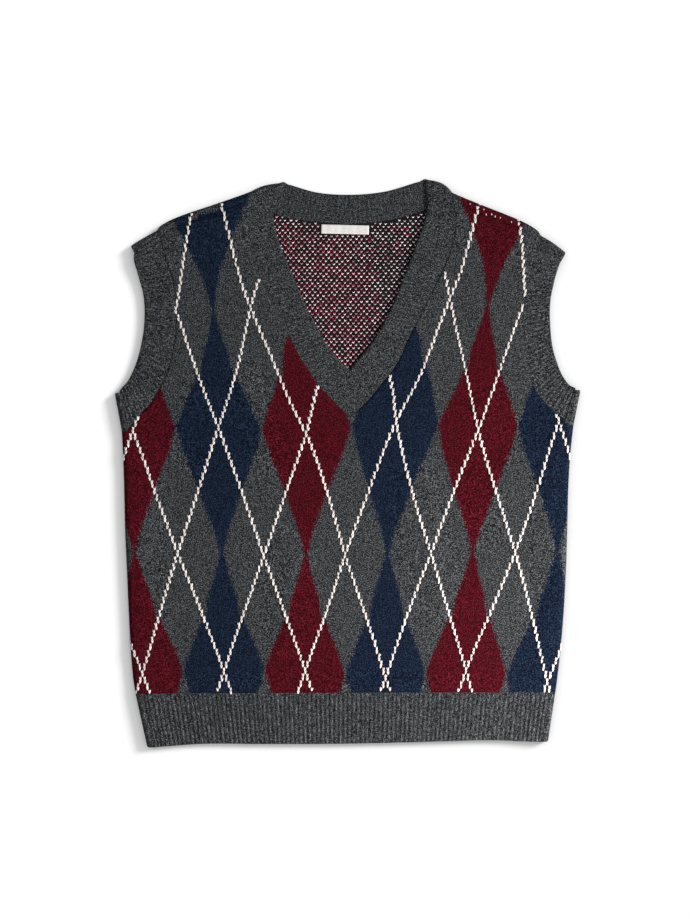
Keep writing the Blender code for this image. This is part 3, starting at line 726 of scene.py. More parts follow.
def band_patch(crossings, width, pitch, rib, mitred=False, raised=None):
    """A stretch of band with raised ribs, as the two faces of its wall.

    A mitred one ends on the mitre at the point of the V. raised gives the shares of the rib's
    height on the outer and the inner face along the band.
    """
    crossings = np.array(crossings)
    if mitred:
        knots, ribs = np.arange(len(crossings), dtype=float), MITRE_RIBS
    else:
        gaps = np.linalg.norm(np.diff(crossings[..., INNER], axis=0), axis=2).mean(axis=1)
        knots = np.concatenate([[0.0], np.cumsum(gaps)])
        ribs = round(knots[-1] / pitch)
    places = np.linspace(0.0, knots[-1], ribs * RIB_SAMPLES + 1)
    rows = through(crossings, knots, places)
    shares, full = cross_profile(width)
    weights = np.stack([(1 - shares) * (1 - 2 * shares), 4 * shares * (1 - shares),
                        shares * (2 * shares - 1)])
    points = np.einsum("kc,nkd->ncd", weights, rows)
    points[..., OUTWARD] /= np.linalg.norm(points[..., OUTWARD], axis=-1, keepdims=True)

    number = np.linspace(0.0, ribs, len(places))
    profile = rib * (0.5 - 0.5 * np.cos(2.0 * np.pi * number)) ** RIB_BREADTH
    on_outer, on_inner = raised(places / knots[-1]) if raised else (1.0, 0.0)
    full = np.broadcast_to(full, points.shape[:2]).copy()
    if mitred:      # the half towards the free edge is joined to the other side's
        full[:-1, full.shape[1] // 2:] = 1.0
    rising = smooth(shares * width / RIB_START) * np.clip(full * 2.0 - 1.0, 0.0, 1.0)
    low = WALL / 2.0 * (1.0 - full) - (profile * on_inner)[:, None] * rising
    high = WALL / 2.0 * (1.0 + full) + (profile * on_outer)[:, None] * rising
    inner = points[..., INNER] + points[..., OUTWARD] * low[..., None]
    outer = points[..., INNER] + points[..., OUTWARD] * high[..., None]
    wales, rows = np.broadcast_arrays(2.0 * number[:, None], shares * width / BAND_ROW)
    stitches = np.stack([wales, rows], axis=-1)
    return Patch(inner, outer, stitches)


# --- meshes --------------------------------------------------------------------------------------

def add_object(name, data):
    """A new object in the scene."""
    added = bpy.data.objects.new(name, data)
    bpy.context.scene.collection.objects.link(added)
    return added


def new_mesh(name, points, faces, stitches, slots, materials):
    """A mesh object in the scene from arrays, with its stitch map and its normals turned out."""
    data = bpy.data.meshes.new(name)
    data.from_pydata((points * MM).tolist(), [], faces)
    layer = data.uv_layers.new(name="stitches")
    layer.data.foreach_set("uv", np.asarray(stitches, np.float32).ravel())
    data.polygons.foreach_set("material_index", np.asarray(slots, np.int32))
    for material in materials:
        data.materials.append(material)
    data.validate()
    work = bmesh.new()
    work.from_mesh(data)
    bmesh.ops.recalc_face_normals(work, faces=work.faces)
    work.to_mesh(data)
    work.free()
    data.shade_smooth()
    return add_object(name, data)


def close_wall(name, inner, outer, cells, stitches, materials):
    """A closed wall from the numbered points of its two faces and the cells between them.

    cells hold corner numbers; inner, outer and stitches have a row for each corner.
    """
    keys = np.round(np.hstack([inner, outer]), 2)
    _, first, number = np.unique(keys, axis=0, return_index=True, return_inverse=True)
    number = number.ravel()
    inner_points, outer_points = inner[first], outer[first]
    count = len(first)
    corners = number[cells]
    sides = np.stack([corners, np.roll(corners, -1, axis=1)], axis=2).reshape(-1, 2)
    corner_sides = np.stack([cells, np.roll(cells, -1, axis=1)], axis=2).reshape(-1, 2)
    _, where, uses = np.unique(np.sort(sides, axis=1), axis=0, return_index=True,
                               return_counts=True)
    rim = where[uses == 1]

    faces = corners[:, ::-1].tolist() + (corners + count).tolist()
    a, b = sides[rim].T
    faces += np.stack([a, b, b + count, a + count], axis=1).tolist()
    corner_a, corner_b = corner_sides[rim].T
    loops = np.concatenate([cells[:, ::-1].ravel(), cells.ravel(),
                            np.stack([corner_a, corner_b, corner_b, corner_a], axis=1).ravel()])
    slots = np.zeros(len(faces), int)
    if len(materials) > 1:
        slots[:len(cells)] = 1
    points = np.vstack([inner_points, outer_points])
    return new_mesh(name, points, faces, stitches[loops], slots, materials)


def patch_wall(name, patches, materials):
    """A closed wall from grid patches whose shared points meet."""
    cells, start = [], 0
    for patch in patches:
        rows, columns = patch.inner.shape[:2]
        grid = start + np.arange(rows * columns).reshape(rows, columns)
        quads = np.stack([grid[:-1, :-1], grid[:-1, 1:], grid[1:, 1:], grid[1:, :-1]], axis=-1)
        cells.append(quads.reshape(-1, 4))
        start += rows * columns
    inner = np.concatenate([patch.inner.reshape(-1, 3) for patch in patches])
    outer = np.concatenate([patch.outer.reshape(-1, 3) for patch in patches])
    stitches = np.concatenate([patch.stitches.reshape(-1, 2) for patch in patches])
    return close_wall(name, inner, outer, np.concatenate(cells), stitches, materials)


# --- node trees ----------------------------------------------------------------------------------

LEG_SLOPE = 0.7             # rows that a leg climbs from the middle of its wale to the groove
COARSE_FLECKS = 330.0       # scales of the noises, per metre
FINE_FLECKS = 1100.0
STRAY_FIBRES = 750.0
YARN_FIBRES = 1500.0
GROUND_FIBRES = 700.0
HAIR_SCALE = (260.0, 1500.0, 500.0)
TWILL_SCALE = 900.0
CLOUD_SCALE = 90.0
COARSE_SHARE = 0.25         # what the coarse noise adds to the fine one
LEG_SHARE = 0.08            # what each leg's own number adds
FLECK_RANGE = (0.6, 0.9)    # the part of that sum in which fibres turn from dark to light
FLECK_POWER = 1.5           # above 1 the light ones are fewer
HAIR_TURNS = (0.7, -0.5)    # which way the fibres over the knit lie
HAIR_RANGE = (0.62, 0.78)   # the part of their noise in which they begin to show
HAIR_SHARE = 0.3            # how light they are
# Painted shade of the ribs: a groove is darkened in colour and a crest made lighter.
PAINTED_CREST_LIFT = 0.36          # painted shade: what a rib's crest adds to the share of light fibres left in its groove
PAINTED_GROOVE_SHADE = 0.7
PATCH_RANGE = (0.36, 0.62)  # the part of its noise in which a yarn's patch turns light
PATCH_SHARE = 0.75          # how light it makes the yarn
YARN_RANGE = (0.3, 0.7)     # the same for the yarn's fibres
YARN_SHARE = 0.35
BODY_LEGS = 0.2             # relief of the legs against that of the fibres, in the body
RIB_LEGS = 0.35             # and in the bands
YARN_RELIEF = 0.0002        # depths of relief, in metres
LABEL_RELIEF = 0.00012
WOOL_ROUGHNESS = 0.92
LABEL_ROUGHNESS = 0.6
DULL_SPECULAR = 0.03
INSIDE_SHADES = (0.6, 1.6)  # the darker and the lighter shade of a ground, against its colour
LABEL_SHADES = (0.86, 1.08)


class Graph:
    """Short calls to fill a node tree."""

    def __init__(self, tree):
        self.tree = tree

    def add(self, kind, inputs=None, **settings):
        """A node with its settings, and its inputs given by name or number."""
        node = self.tree.nodes.new(kind)
        for key, value in settings.items():
            setattr(node, key, value)
        for key, value in (inputs or {}).items():
            self.set(node.inputs[key], value)
        return node

    def set(self, socket, value):
        """Link one input to a socket or to a node's first output, or set it."""
        if isinstance(value, bpy.types.Node):
            value = value.outputs[0]
        if isinstance(value, bpy.types.NodeSocket):
            self.tree.links.new(value, socket)
        else:
            socket.default_value = value

    def math(self, operation, first, second=0.0, third=0.0):
        """The result of a sum."""
        node = self.add("ShaderNodeMath", {0: first, 1: second, 2: third}, operation=operation)
        return node.outputs[0]

    def mix(self, share, first, second):
        """A colour between two."""
        node = self.add("ShaderNodeMix", {0: share}, data_type="RGBA")
        for number, value in ((6, first), (7, second)):
            is_socket = isinstance(value, bpy.types.NodeSocket)
            self.set(node.inputs[number], value if is_socket else (*value, 1.0))
        return node.outputs[2]

    def place(self):
        """The place of a point on its object."""
        return self.add("ShaderNodeTexCoord").outputs["Object"]

    def noise(self, vector, scale, detail=2.0):
        """A noise from 0 to 1."""
        node = self.add("ShaderNodeTexNoise", {"Vector": vector, "Scale": scale, "Detail": detail})
        return node.outputs[0]

    def remap(self, value, low, high):
        """A value's share of a range, from 0 to 1."""
        inputs = {"Value": value, "From Min": low, "From Max": high}
        return self.add("ShaderNodeMapRange", inputs).outputs[0]

    def line(self, value, spots, across, up):
        """The height of a line of straight stretches at a value. The spots are pairs of a place
        and a height, at most across and up."""
        node = self.add("ShaderNodeFloatCurve", {"Value": self.math("DIVIDE", value, across)})
        points = node.mapping.curves[0].points
        for number, (place, height) in enumerate(spots):
            spot = place / across, height / up
            if number < 2:
                points[number].location = spot
            else:
                points.new(*spot)
        for point in points:
            point.handle_type = "VECTOR"
        node.mapping.update()
        return self.math("MULTIPLY", node.outputs[0], up)


def new_material(name):
    """An empty material with its graph and shader."""
    material = bpy.data.materials.new(name)
    material.use_nodes = True
    return material, Graph(material.node_tree), material.node_tree.nodes["Principled BSDF"]


Stitch = namedtuple("Stitch", "u wale row leg course side")


def stitch_at(graph):
    """The stitch at a point, from the stitch map: the place across, the number of its wale and its
    row, how far out the point is in its leg and how far up, and on which side of the wale."""
    uv = graph.add("ShaderNodeUVMap", uv_map="stitches")
    u, v, _ = graph.add("ShaderNodeSeparateXYZ", {0: uv}).outputs
    wale = graph.math("ROUND", u)
    across = graph.math("SUBTRACT", u, wale)
    leg = graph.math("MULTIPLY", graph.math("ABSOLUTE", across), 2.0)
    course = graph.math("SUBTRACT", v, graph.math("MULTIPLY", leg, LEG_SLOPE))
    row = graph.math("FLOOR", course)
    side = graph.math("GREATER_THAN", across, 0.0)
    return Stitch(u, wale, row, leg, course, side)


def leg_random(graph, stitch):
    """A number from 0 to 1 for each leg of each stitch."""
    leg = graph.math("MULTIPLY_ADD", stitch.wale, 2.0, stitch.side)
    spot = graph.add("ShaderNodeCombineXYZ", {0: leg, 1: stitch.row, 2: 0.5})
    return graph.add("ShaderNodeTexWhiteNoise", {"Vector": spot}).outputs["Value"]


def stitch_height(graph, stitch):
    """The height of a stitch's two legs, from 0 in the grooves to 1."""
    across = graph.math("SINE", graph.math("MULTIPLY", stitch.leg, math.pi))
    up = graph.math("FRACT", stitch.course)
    along = graph.math("SINE", graph.math("MULTIPLY", up, math.pi))
    return graph.math("MULTIPLY", across, graph.math("MULTIPLY_ADD", along, 0.5, 0.5))


def finish_wool(graph, shader, base, height, depth, roughness=WOOL_ROUGHNESS):
    """Join colour and relief to a shader, and give it the dull finish of wool."""
    graph.set(shader.inputs["Base Color"], base)
    shader.inputs["Roughness"].default_value = roughness
    shader.inputs["Specular IOR Level"].default_value = DULL_SPECULAR
    bump = graph.add("ShaderNodeBump", {"Height": height, "Distance": depth, "Strength": 1.0})
    graph.set(shader.inputs["Normal"], bump)


def hairs(graph, place, turned):
    """Thin fibres that lie across the knit, as a share from 0 to 1."""
    way = graph.add("ShaderNodeMapping", {"Vector": place, "Rotation": (0.0, 0.0, turned),
                                          "Scale": HAIR_SCALE})
    return graph.remap(graph.noise(way, 1.0, 1.0), *HAIR_RANGE)


def fibre_flecks(graph, stitch):
    """The share of light fibres, with some that cross the stitches, and its finest noise."""
    place = graph.place()
    coarse = graph.noise(place, COARSE_FLECKS, 1.0)
    fine = graph.noise(place, FINE_FLECKS, 0.0)
    legs = leg_random(graph, stitch)
    total = graph.math("MULTIPLY_ADD", coarse, COARSE_SHARE, fine)
    total = graph.math("MULTIPLY_ADD", legs, LEG_SHARE, total)
    share = graph.math("POWER", graph.remap(total, *FLECK_RANGE), FLECK_POWER)
    crossed = graph.math("MAXIMUM", *(hairs(graph, place, turned) for turned in HAIR_TURNS))
    return graph.math("MULTIPLY_ADD", crossed, HAIR_SHARE, share), fine


def argyle_share(graph, stitch):
    """Whether a stitch is in a coloured diamond, with stray fibres over its edge, and whether its
    column is navy."""
    period = 2 * DIAMOND_WALES
    column = graph.math("DIVIDE", graph.math("SUBTRACT", stitch.wale, FIRST_COLUMN), period)
    column = graph.math("ROUND", column)
    navy = graph.math("FLOORED_MODULO", column, 2.0)
    middle = graph.math("MULTIPLY_ADD", column, period, FIRST_COLUMN)
    beside = graph.math("SUBTRACT", stitch.wale, middle)
    away = graph.math("ABSOLUTE", beside)
    up = graph.math("ADD", graph.math("FLOORED_MODULO", stitch.row, 2 * DIAMOND_ROWS), 0.5)
    width = graph.line(up, DIAMOND_EDGE, 2 * DIAMOND_ROWS, DIAMOND_WALES)
    wider = graph.math("MULTIPLY_ADD", navy, NAVY_FLARE, RED_FLARE)
    width = graph.math("MULTIPLY_ADD", graph.remap(stitch.row, *SHOULDER_ROWS), wider, width)
    stray = graph.math("SUBTRACT", graph.noise(graph.place(), STRAY_FIBRES, 1.0), 0.5)
    inside = graph.math("LESS_THAN", graph.math("MULTIPLY_ADD", stray, STRAY_WALES, away), width)
    sloped = graph.math("MULTIPLY_ADD", beside, -SEAM_SLOPE, stitch.row)
    strip = graph.math("MULTIPLY", graph.math("GREATER_THAN", sloped, SEAM_ROW), navy)
    strip = graph.math("MULTIPLY", strip, graph.math("LESS_THAN", away, STRIP_WALES))
    return graph.math("SUBTRACT", inside, strip), navy


def argyle_material(name, colours, relief):
    """The body's knit: grey ground with burgundy and navy diamonds."""
    material, graph, shader = new_material(name)
    stitch = stitch_at(graph)
    flecks, fine = fibre_flecks(graph, stitch)
    inside, navy = argyle_share(graph, stitch)
    dark = graph.mix(navy, colours.red_dark, colours.navy_dark)
    light = graph.mix(navy, colours.red_light, colours.navy_light)
    dark = graph.mix(inside, colours.charcoal_dark, dark)
    light = graph.mix(inside, colours.charcoal_light, light)
    base = graph.mix(flecks, dark, light)
    height = graph.math("MULTIPLY_ADD", stitch_height(graph, stitch), BODY_LEGS, fine)
    finish_wool(graph, shader, base, height, relief)
    return material


def rib_material(name, colours, relief):
    """The bands' knit: one rib of knit wales and one of purl, with painted shade darkening the
    grooves between the ribs.
    """
    material, graph, shader = new_material(name)
    stitch = stitch_at(graph)
    flecks, fine = fibre_flecks(graph, stitch)
    # Painted shade: the share of light fibres is cut in the grooves and kept on the crests.
    crest = graph.math("SINE", graph.math("MULTIPLY", stitch.u, math.pi / 2.0))
    crest = graph.math("SQRT", graph.math("ABSOLUTE", crest))
    light = graph.math("MULTIPLY_ADD", crest, PAINTED_CREST_LIFT, PAINTED_GROOVE_SHADE)
    flecks = graph.math("MULTIPLY", flecks, light)
    base = graph.mix(flecks, colours.charcoal_dark, colours.charcoal_light)
    height = graph.math("MULTIPLY_ADD", stitch_height(graph, stitch), RIB_LEGS, fine)
    finish_wool(graph, shader, base, height, relief)
    return material


def yarn_material(name, shade, dull, patch):
    """A single yarn: fine fibres of two shades, with the duller one leading in patches."""
    material, graph, shader = new_material(name)
    place = graph.place()
    fibres = graph.noise(place, YARN_FIBRES)
    patches = graph.remap(graph.noise(place, patch, 1.0), *PATCH_RANGE)
    share = graph.math("MULTIPLY_ADD", graph.remap(fibres, *YARN_RANGE), YARN_SHARE,
                       graph.math("MULTIPLY", patches, PATCH_SHARE))
    base = graph.mix(share, dull, shade)
    finish_wool(graph, shader, base, fibres, YARN_RELIEF)
    return material


def shaded(shade, times):
    """A colour made darker or lighter."""
    return tuple(min(part * times, 1.0) for part in shade)


def inside_material(name, colours, relief):
    """The inside of the knit, a dark ground under the stitches of the float side."""
    material, graph, shader = new_material(name)
    fibres = graph.noise(graph.place(), GROUND_FIBRES)
    base = graph.mix(fibres, *(shaded(colours.inside, times) for times in INSIDE_SHADES))
    finish_wool(graph, shader, base, fibres, relief)
    return material


def label_material(name, colours):
    """A bare woven label with a fine twill."""
    material, graph, shader = new_material(name)
    place = graph.place()
    twill = {"Vector": place, "Scale": TWILL_SCALE, "Distortion": 0.6}
    weave = graph.add("ShaderNodeTexWave", twill, bands_direction="DIAGONAL").outputs["Fac"]
    cloudy = graph.math("MULTIPLY", graph.noise(place, CLOUD_SCALE), 0.5)
    share = graph.math("MULTIPLY_ADD", weave, 0.5, cloudy)
    base = graph.mix(share, *(shaded(colours.label, times) for times in LABEL_SHADES))
    finish_wool(graph, shader, base, weave, LABEL_RELIEF, LABEL_ROUGHNESS)
    return material


def shared_material(name, make, *values):
    """A material that is made once and then found by its name."""
    return bpy.data.materials.get(name) or make(name, *values)


# --- laying stitches with Geometry Nodes ---------------------------------------------------------

def stitch_tree():
    """A tree that lays a V of two yarn legs on each point of a mesh."""
    found = bpy.data.node_groups.get("lay_stitches")
    if found:
        return found
    tree = bpy.data.node_groups.new("lay_stitches", "GeometryNodeTree")
    face = tree.interface
    face.new_socket("Geometry", in_out="INPUT", socket_type="NodeSocketGeometry")
    for name in ("Leg length", "Leg width", "Leg depth", "Spread", "Apart"):
        socket = face.new_socket(name, in_out="INPUT", socket_type="NodeSocketFloat")
        socket.default_value = 1.0 if name == "Leg length" else 0.4
    face.new_socket("Material", in_out="INPUT", socket_type="NodeSocketMaterial")
    face.new_socket("Geometry", in_out="OUTPUT", socket_type="NodeSocketGeometry")
    graph = Graph(tree)
    given = graph.add("NodeGroupInput").outputs
    ball = graph.add("GeometryNodeMeshUVSphere", {"Segments": 5, "Rings": 5, "Radius": 0.5})
    size = graph.add("ShaderNodeCombineXYZ", {0: given["Leg width"], 1: given["Leg depth"],
                                              2: given["Leg length"]})
    thin = graph.add("GeometryNodeTransform", {"Geometry": ball, "Scale": size})
    laid = graph.add("GeometryNodeTransform", {"Geometry": thin,
                                               "Rotation": (-math.pi / 2.0, 0.0, 0.0)})
    join = graph.add("GeometryNodeJoinGeometry")
    for side in (-1.0, 1.0):
        tilt = graph.math("MULTIPLY", given["Spread"], -side)
        shift = graph.math("MULTIPLY", given["Apart"], side * 0.5)
        graph.set(join.inputs[0], graph.add("GeometryNodeTransform", {
            "Geometry": laid,
            "Rotation": graph.add("ShaderNodeCombineXYZ", {2: tilt}),
            "Translation": graph.add("ShaderNodeCombineXYZ", {0: shift}),
        }))
    turned, scale = (
        graph.add("GeometryNodeInputNamedAttribute", {"Name": name}, data_type="FLOAT_VECTOR")
        for name in ("turn", "size")
    )
    placed = graph.add("GeometryNodeInstanceOnPoints", {
        "Points": graph.add("GeometryNodeMeshToPoints", {"Mesh": given["Geometry"]}),
        "Instance": join,
        "Rotation": graph.add("FunctionNodeEulerToRotation", {0: turned}),
        "Scale": scale,
    })
    real = graph.add("GeometryNodeRealizeInstances", {"Geometry": placed})
    smoothed = graph.add("GeometryNodeSetShadeSmooth", {"Geometry": real})
    painted = graph.add("GeometryNodeSetMaterial", {"Geometry": smoothed,
                                                    "Material": given["Material"]})
    graph.set(graph.add("NodeGroupOutput").inputs[0], painted)
    return tree


def turned_euler(right, up, normal):
    """Euler angles of frames given by their axes, one row each."""
    angles = []
    for x_axis, y_axis, z_axis in zip(right, up, normal):
        axes = Matrix((x_axis, y_axis, z_axis)).transposed()
        angles.append(tuple(axes.to_euler()))
    return np.array(angles)


def lay_stitches(name, points, up, normal, size, shape, material):
    """A piece of V stitches at points, with which way is up, which way is out, and a size for
    each. shape gives the tree's own inputs."""
    up = up / np.linalg.norm(up, axis=1, keepdims=True)
    right = np.cross(up, normal)
    right /= np.linalg.norm(right, axis=1, keepdims=True)
    up = np.cross(normal, right)
    seeds = bpy.data.meshes.new(name + "_points")
    seeds.from_pydata((points * MM).tolist(), [], [])
    for key, values in (("turn", turned_euler(right, up, normal)), ("size", size)):
        attribute = seeds.attributes.new(key, "FLOAT_VECTOR", "POINT")
        attribute.data.foreach_set("vector", np.asarray(values, np.float32).ravel())
    holder = add_object(name + "_points", seeds)
    modifier = holder.modifiers.new("stitches", "NODES")
    modifier.node_group = stitch_tree()
    values = dict(shape, Material=material)
    for item in modifier.node_group.interface.items_tree:
        if item.in_out == "INPUT" and item.name in values:
            modifier[item.identifier] = values[item.name]
    evaluated = holder.evaluated_get(bpy.context.evaluated_depsgraph_get())
    data = bpy.data.meshes.new_from_object(evaluated)
    data.name = name
    bpy.data.objects.remove(holder)
    for key in ("turn", "size"):
        data.attributes.remove(data.attributes[key])
    return add_object(name, data)


# --- the pieces ----------------------------------------------------------------------------------

def settings():
    """The scene's knit and colour settings."""
    scene = bpy.context.scene
    return scene.vest_knit, scene.vest_colours


def knit_materials():
    """The body's material, and the one of its inside."""
    knit, colours = settings()
    body = shared_material("argyle_wool", argyle_material, colours, knit.stitch_relief)
    inside = shared_material("inside_ground", inside_material, colours, knit.stitch_relief)
    return body, inside


def band_material():
    """The bands' material."""
    knit, colours = settings()
    return shared_material("charcoal_rib", rib_material, colours, knit.stitch_relief)


def finish_cloth(piece, node):
    """Join a sheet of cloth to the frame, and hide the part that it stands for."""
    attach(piece, BODY_NAME)
    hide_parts(node)


def distances(x, y, line):
    """How far flat points lie from the nearest point of a line."""
    tree = KDTree(len(line))
    for number, spot in enumerate(line):
        tree.insert((*spot, 0.0), number)
    tree.balance()
    return np.array([tree.find((a, b, 0.0))[2] for a, b in zip(x, y)])


class VEST_OT_front_panel(bpy.types.Operator):
    """Knit the front panel: argyle, with a ridge for every wale"""

    bl_idname = "vest.front_panel"
    bl_label = "Front Panel"

    WALE_STEP = 0.5         # distances between the mesh's points, in stitches
    ROW_STEP = 1.75
    EDGE_STEP = 1.3         # the same along the cut, in millimetres
    EDGE_MARGIN = 0.95      # how far inside the cut the other points stay
    INSIDE_ONLY = 1         # what the triangulation gives back
    CLOSENESS = 1e-6        # how near it takes two points as one

    def execute(self, context):
        knit, _ = settings()
        outline = front_outline(self.EDGE_STEP)
        ring = np.stack(CHART.stitch(*outline.T), axis=1)
        low, high = ring.min(axis=0), ring.max(axis=0)
        u = np.arange(math.floor(low[0]), math.ceil(high[0]) + 0.1, self.WALE_STEP)
        v = np.arange(math.floor(low[1]), math.ceil(high[1]) + 0.1, self.ROW_STEP)
        lattice = np.stack(np.meshgrid(u, v), axis=-1).reshape(-1, 2)
        away = distances(*CHART.place(*lattice.T), outline)
        spots = np.vstack([ring, lattice[away > self.EDGE_MARGIN]]).tolist()
        result = delaunay_2d_cdt(spots, [], [list(range(len(ring)))], self.INSIDE_ONLY,
                                 self.CLOSENESS)
        stitches = np.array([tuple(spot) for spot in result[0]])
        cells = np.array([face for face in result[2] if len(face) == 3])
        used, cells = np.unique(cells, return_inverse=True)
        stitches, cells = stitches[used], cells.reshape(-1, 3)

        flat_x, flat_y = CHART.place(*stitches.T)
        points = drape(flat_x, flat_y)
        ridge = knit.ridge / MM * np.cos(2.0 * np.pi * stitches[:, 0]) * 0.5
        near = np.exp(-(distances(flat_x, flat_y, outline) / SEAM_DIP_REACH) ** 2)
        rise = WALL + ridge * (1.0 - near) - SEAM_DIP * near
        inner = points[:, INNER]
        outer = inner + points[:, OUTWARD] * rise[:, None]
        piece = close_wall("front_knit", inner, outer, cells, stitches, knit_materials())
        finish_cloth(piece, "front_panel")
        return {"FINISHED"}


class VEST_OT_back_panel(bpy.types.Operator):
    """Knit the back panel, from the hem over the shoulders to the shoulder seams"""

    bl_idname = "vest.back_panel"
    bl_label = "Back Panel"

    ROW_STEP = 4.0          # distance between the mesh's rows, in millimetres

    def execute(self, context):
        patches = [self.patch(np.array(rows)) for half in HALVES for rows in self.rows(half)]
        piece = patch_wall("back_knit", patches, knit_materials())
        finish_cloth(piece, "back_panel")
        return {"FINISHED"}

    def rows(self, half):
        """Rows of half the panel, below the armhole and above it."""
        below = []
        for row, fold in zip(BODY, half.folds):
            rounded = np.array([turn(fold, angle) for angle in turn_angles(90.0, 180.0)])
            rounded[0, 2] -= SEAM_GAP / 2.0
            start = rounded[-1]
            across = section(start[:2], (CENTRE_X, row.centre_y), 0.0, BACK)
            below.append(np.vstack([rounded, across[1:]]))
        above = [below[-1][FOLD_STEPS:]]
        ends = [((CENTRE_X, y), 0.0) for y in BACK_CENTRE]
        ends += [((row.neck_x, row.neck_y), row.bow) for row in half.back_neck]
        for row, (end, bow) in zip(half.rows, ends):
            above.append(section((row.seam_x, row.seam_y), end, bow, BACK))
        folds = shoulder_folds(half.shoulder)
        above += [[turn(fold, angle) for fold in folds] for angle in turn_angles(180.0, 0.0)]
        depth = SHOULDER_SEAM_DEPTH - SEAM_GAP
        above.append([moved_in(fold, depth, FRONT) for fold in folds])
        return below, above

    def patch(self, rows):
        """A grid patch from rows, made finer along the panel."""
        points = fine_rows(rows, self.ROW_STEP)
        points[..., OUTWARD] /= np.linalg.norm(points[..., OUTWARD], axis=-1, keepdims=True)
        stitches = np.stack(CHART.stitch(points[..., 6], points[..., 7]), axis=-1)
        outer = points[..., INNER] + points[..., OUTWARD] * WALL
        return Patch(points[..., INNER], outer, stitches)


class VEST_OT_hem(bpy.types.Operator):
    """Knit the hem's front and back, one rib of knit and one of purl"""

    bl_idname = "vest.hem"
    bl_label = "Hem"

    WIDTH = 54.0            # from seam to free edge, in millimetres

    def execute(self, context):
        knit, _ = settings()
        for layer, node, name, rib in ((FRONT, "hem_front", "hem_front_rib", knit.hem_rib / MM),
                                       (BACK, "hem_back", "hem_back_rib", 0.0)):
            patch = band_patch(self.crossings(layer), self.WIDTH, knit.rib_pitch / MM, rib)
            piece = patch_wall(name, [patch], [band_material()])
            finish_cloth(piece, node)
        return {"FINISHED"}

    def crossings(self, layer):
        """The hem's crossings from side seam to side seam."""
        flat = 0.0 if layer == FRONT else 180.0
        left, right = (
            (half.folds[0], middle_fold(half.folds[0], half.hem_corner), half.hem_corner)
            for half in HALVES
        )
        start = turned_crossings(left, 90.0, flat)
        end = turned_crossings(right, flat, 90.0)
        shift = SEAM_GAP / 2.0 if layer == FRONT else -SEAM_GAP / 2.0
        start[0][:, 2] += shift
        end[-1][:, 2] += shift
        rows = [fold_tops(left)]
        rows += [flat_row(row.seam_x, self.seam_y(row.seam_x), row.edge_x, row.edge_y)
                 for row in HEM]
        rows.append(fold_tops(right))
        rows = fine_rows(rows, BAND_STEP * 2.0)
        return start + laid_crossings(rows[1:-1], layer) + end

    def seam_y(self, x):
        """The height of the seam between the panels and the hem."""
        fold = (LEFT if x < CENTRE_X else RIGHT).folds[0]
        share = (x - fold.x) / (CENTRE_X - fold.x)
        return fold.y + (BODY[0].centre_y - fold.y) * share


class VEST_OT_armbands(bpy.types.Operator):
    """Knit both armhole bands, each a closed ring"""

    bl_idname = "vest.armbands"
    bl_label = "Armhole Bands"

    WIDTH = 34.0            # from seam to free edge, in millimetres

    def execute(self, context):
        knit, _ = settings()
        pitch, rib = knit.rib_pitch / MM, knit.band_rib / MM
        for half, node in ((LEFT, "armband_left"), (RIGHT, "armband_right")):
            front, back = self.layers(half)
            patches = [band_patch(front, self.WIDTH, pitch, rib),
                       band_patch(back, self.WIDTH, pitch, 0.0)]
            piece = patch_wall(node + "_rib", patches, [band_material()])
            finish_cloth(piece, node)
        return {"FINISHED"}

    def layers(self, half):
        """The crossings of a band's front and back layer."""
        underarm, top = armhole_folds(half)
        below, above = armhole_rows(half)
        rows = np.concatenate([below, above[1:]])[1:-1]
        front = turned_crossings(underarm, 90.0, 0.0) + laid_crossings(rows, FRONT)
        front += turned_crossings(top, 0.0, 90.0)
        back = turned_crossings(top, 90.0, 180.0) + laid_crossings(rows[::-1], BACK)
        back += turned_crossings(underarm, 180.0, 90.0)
        return front, back


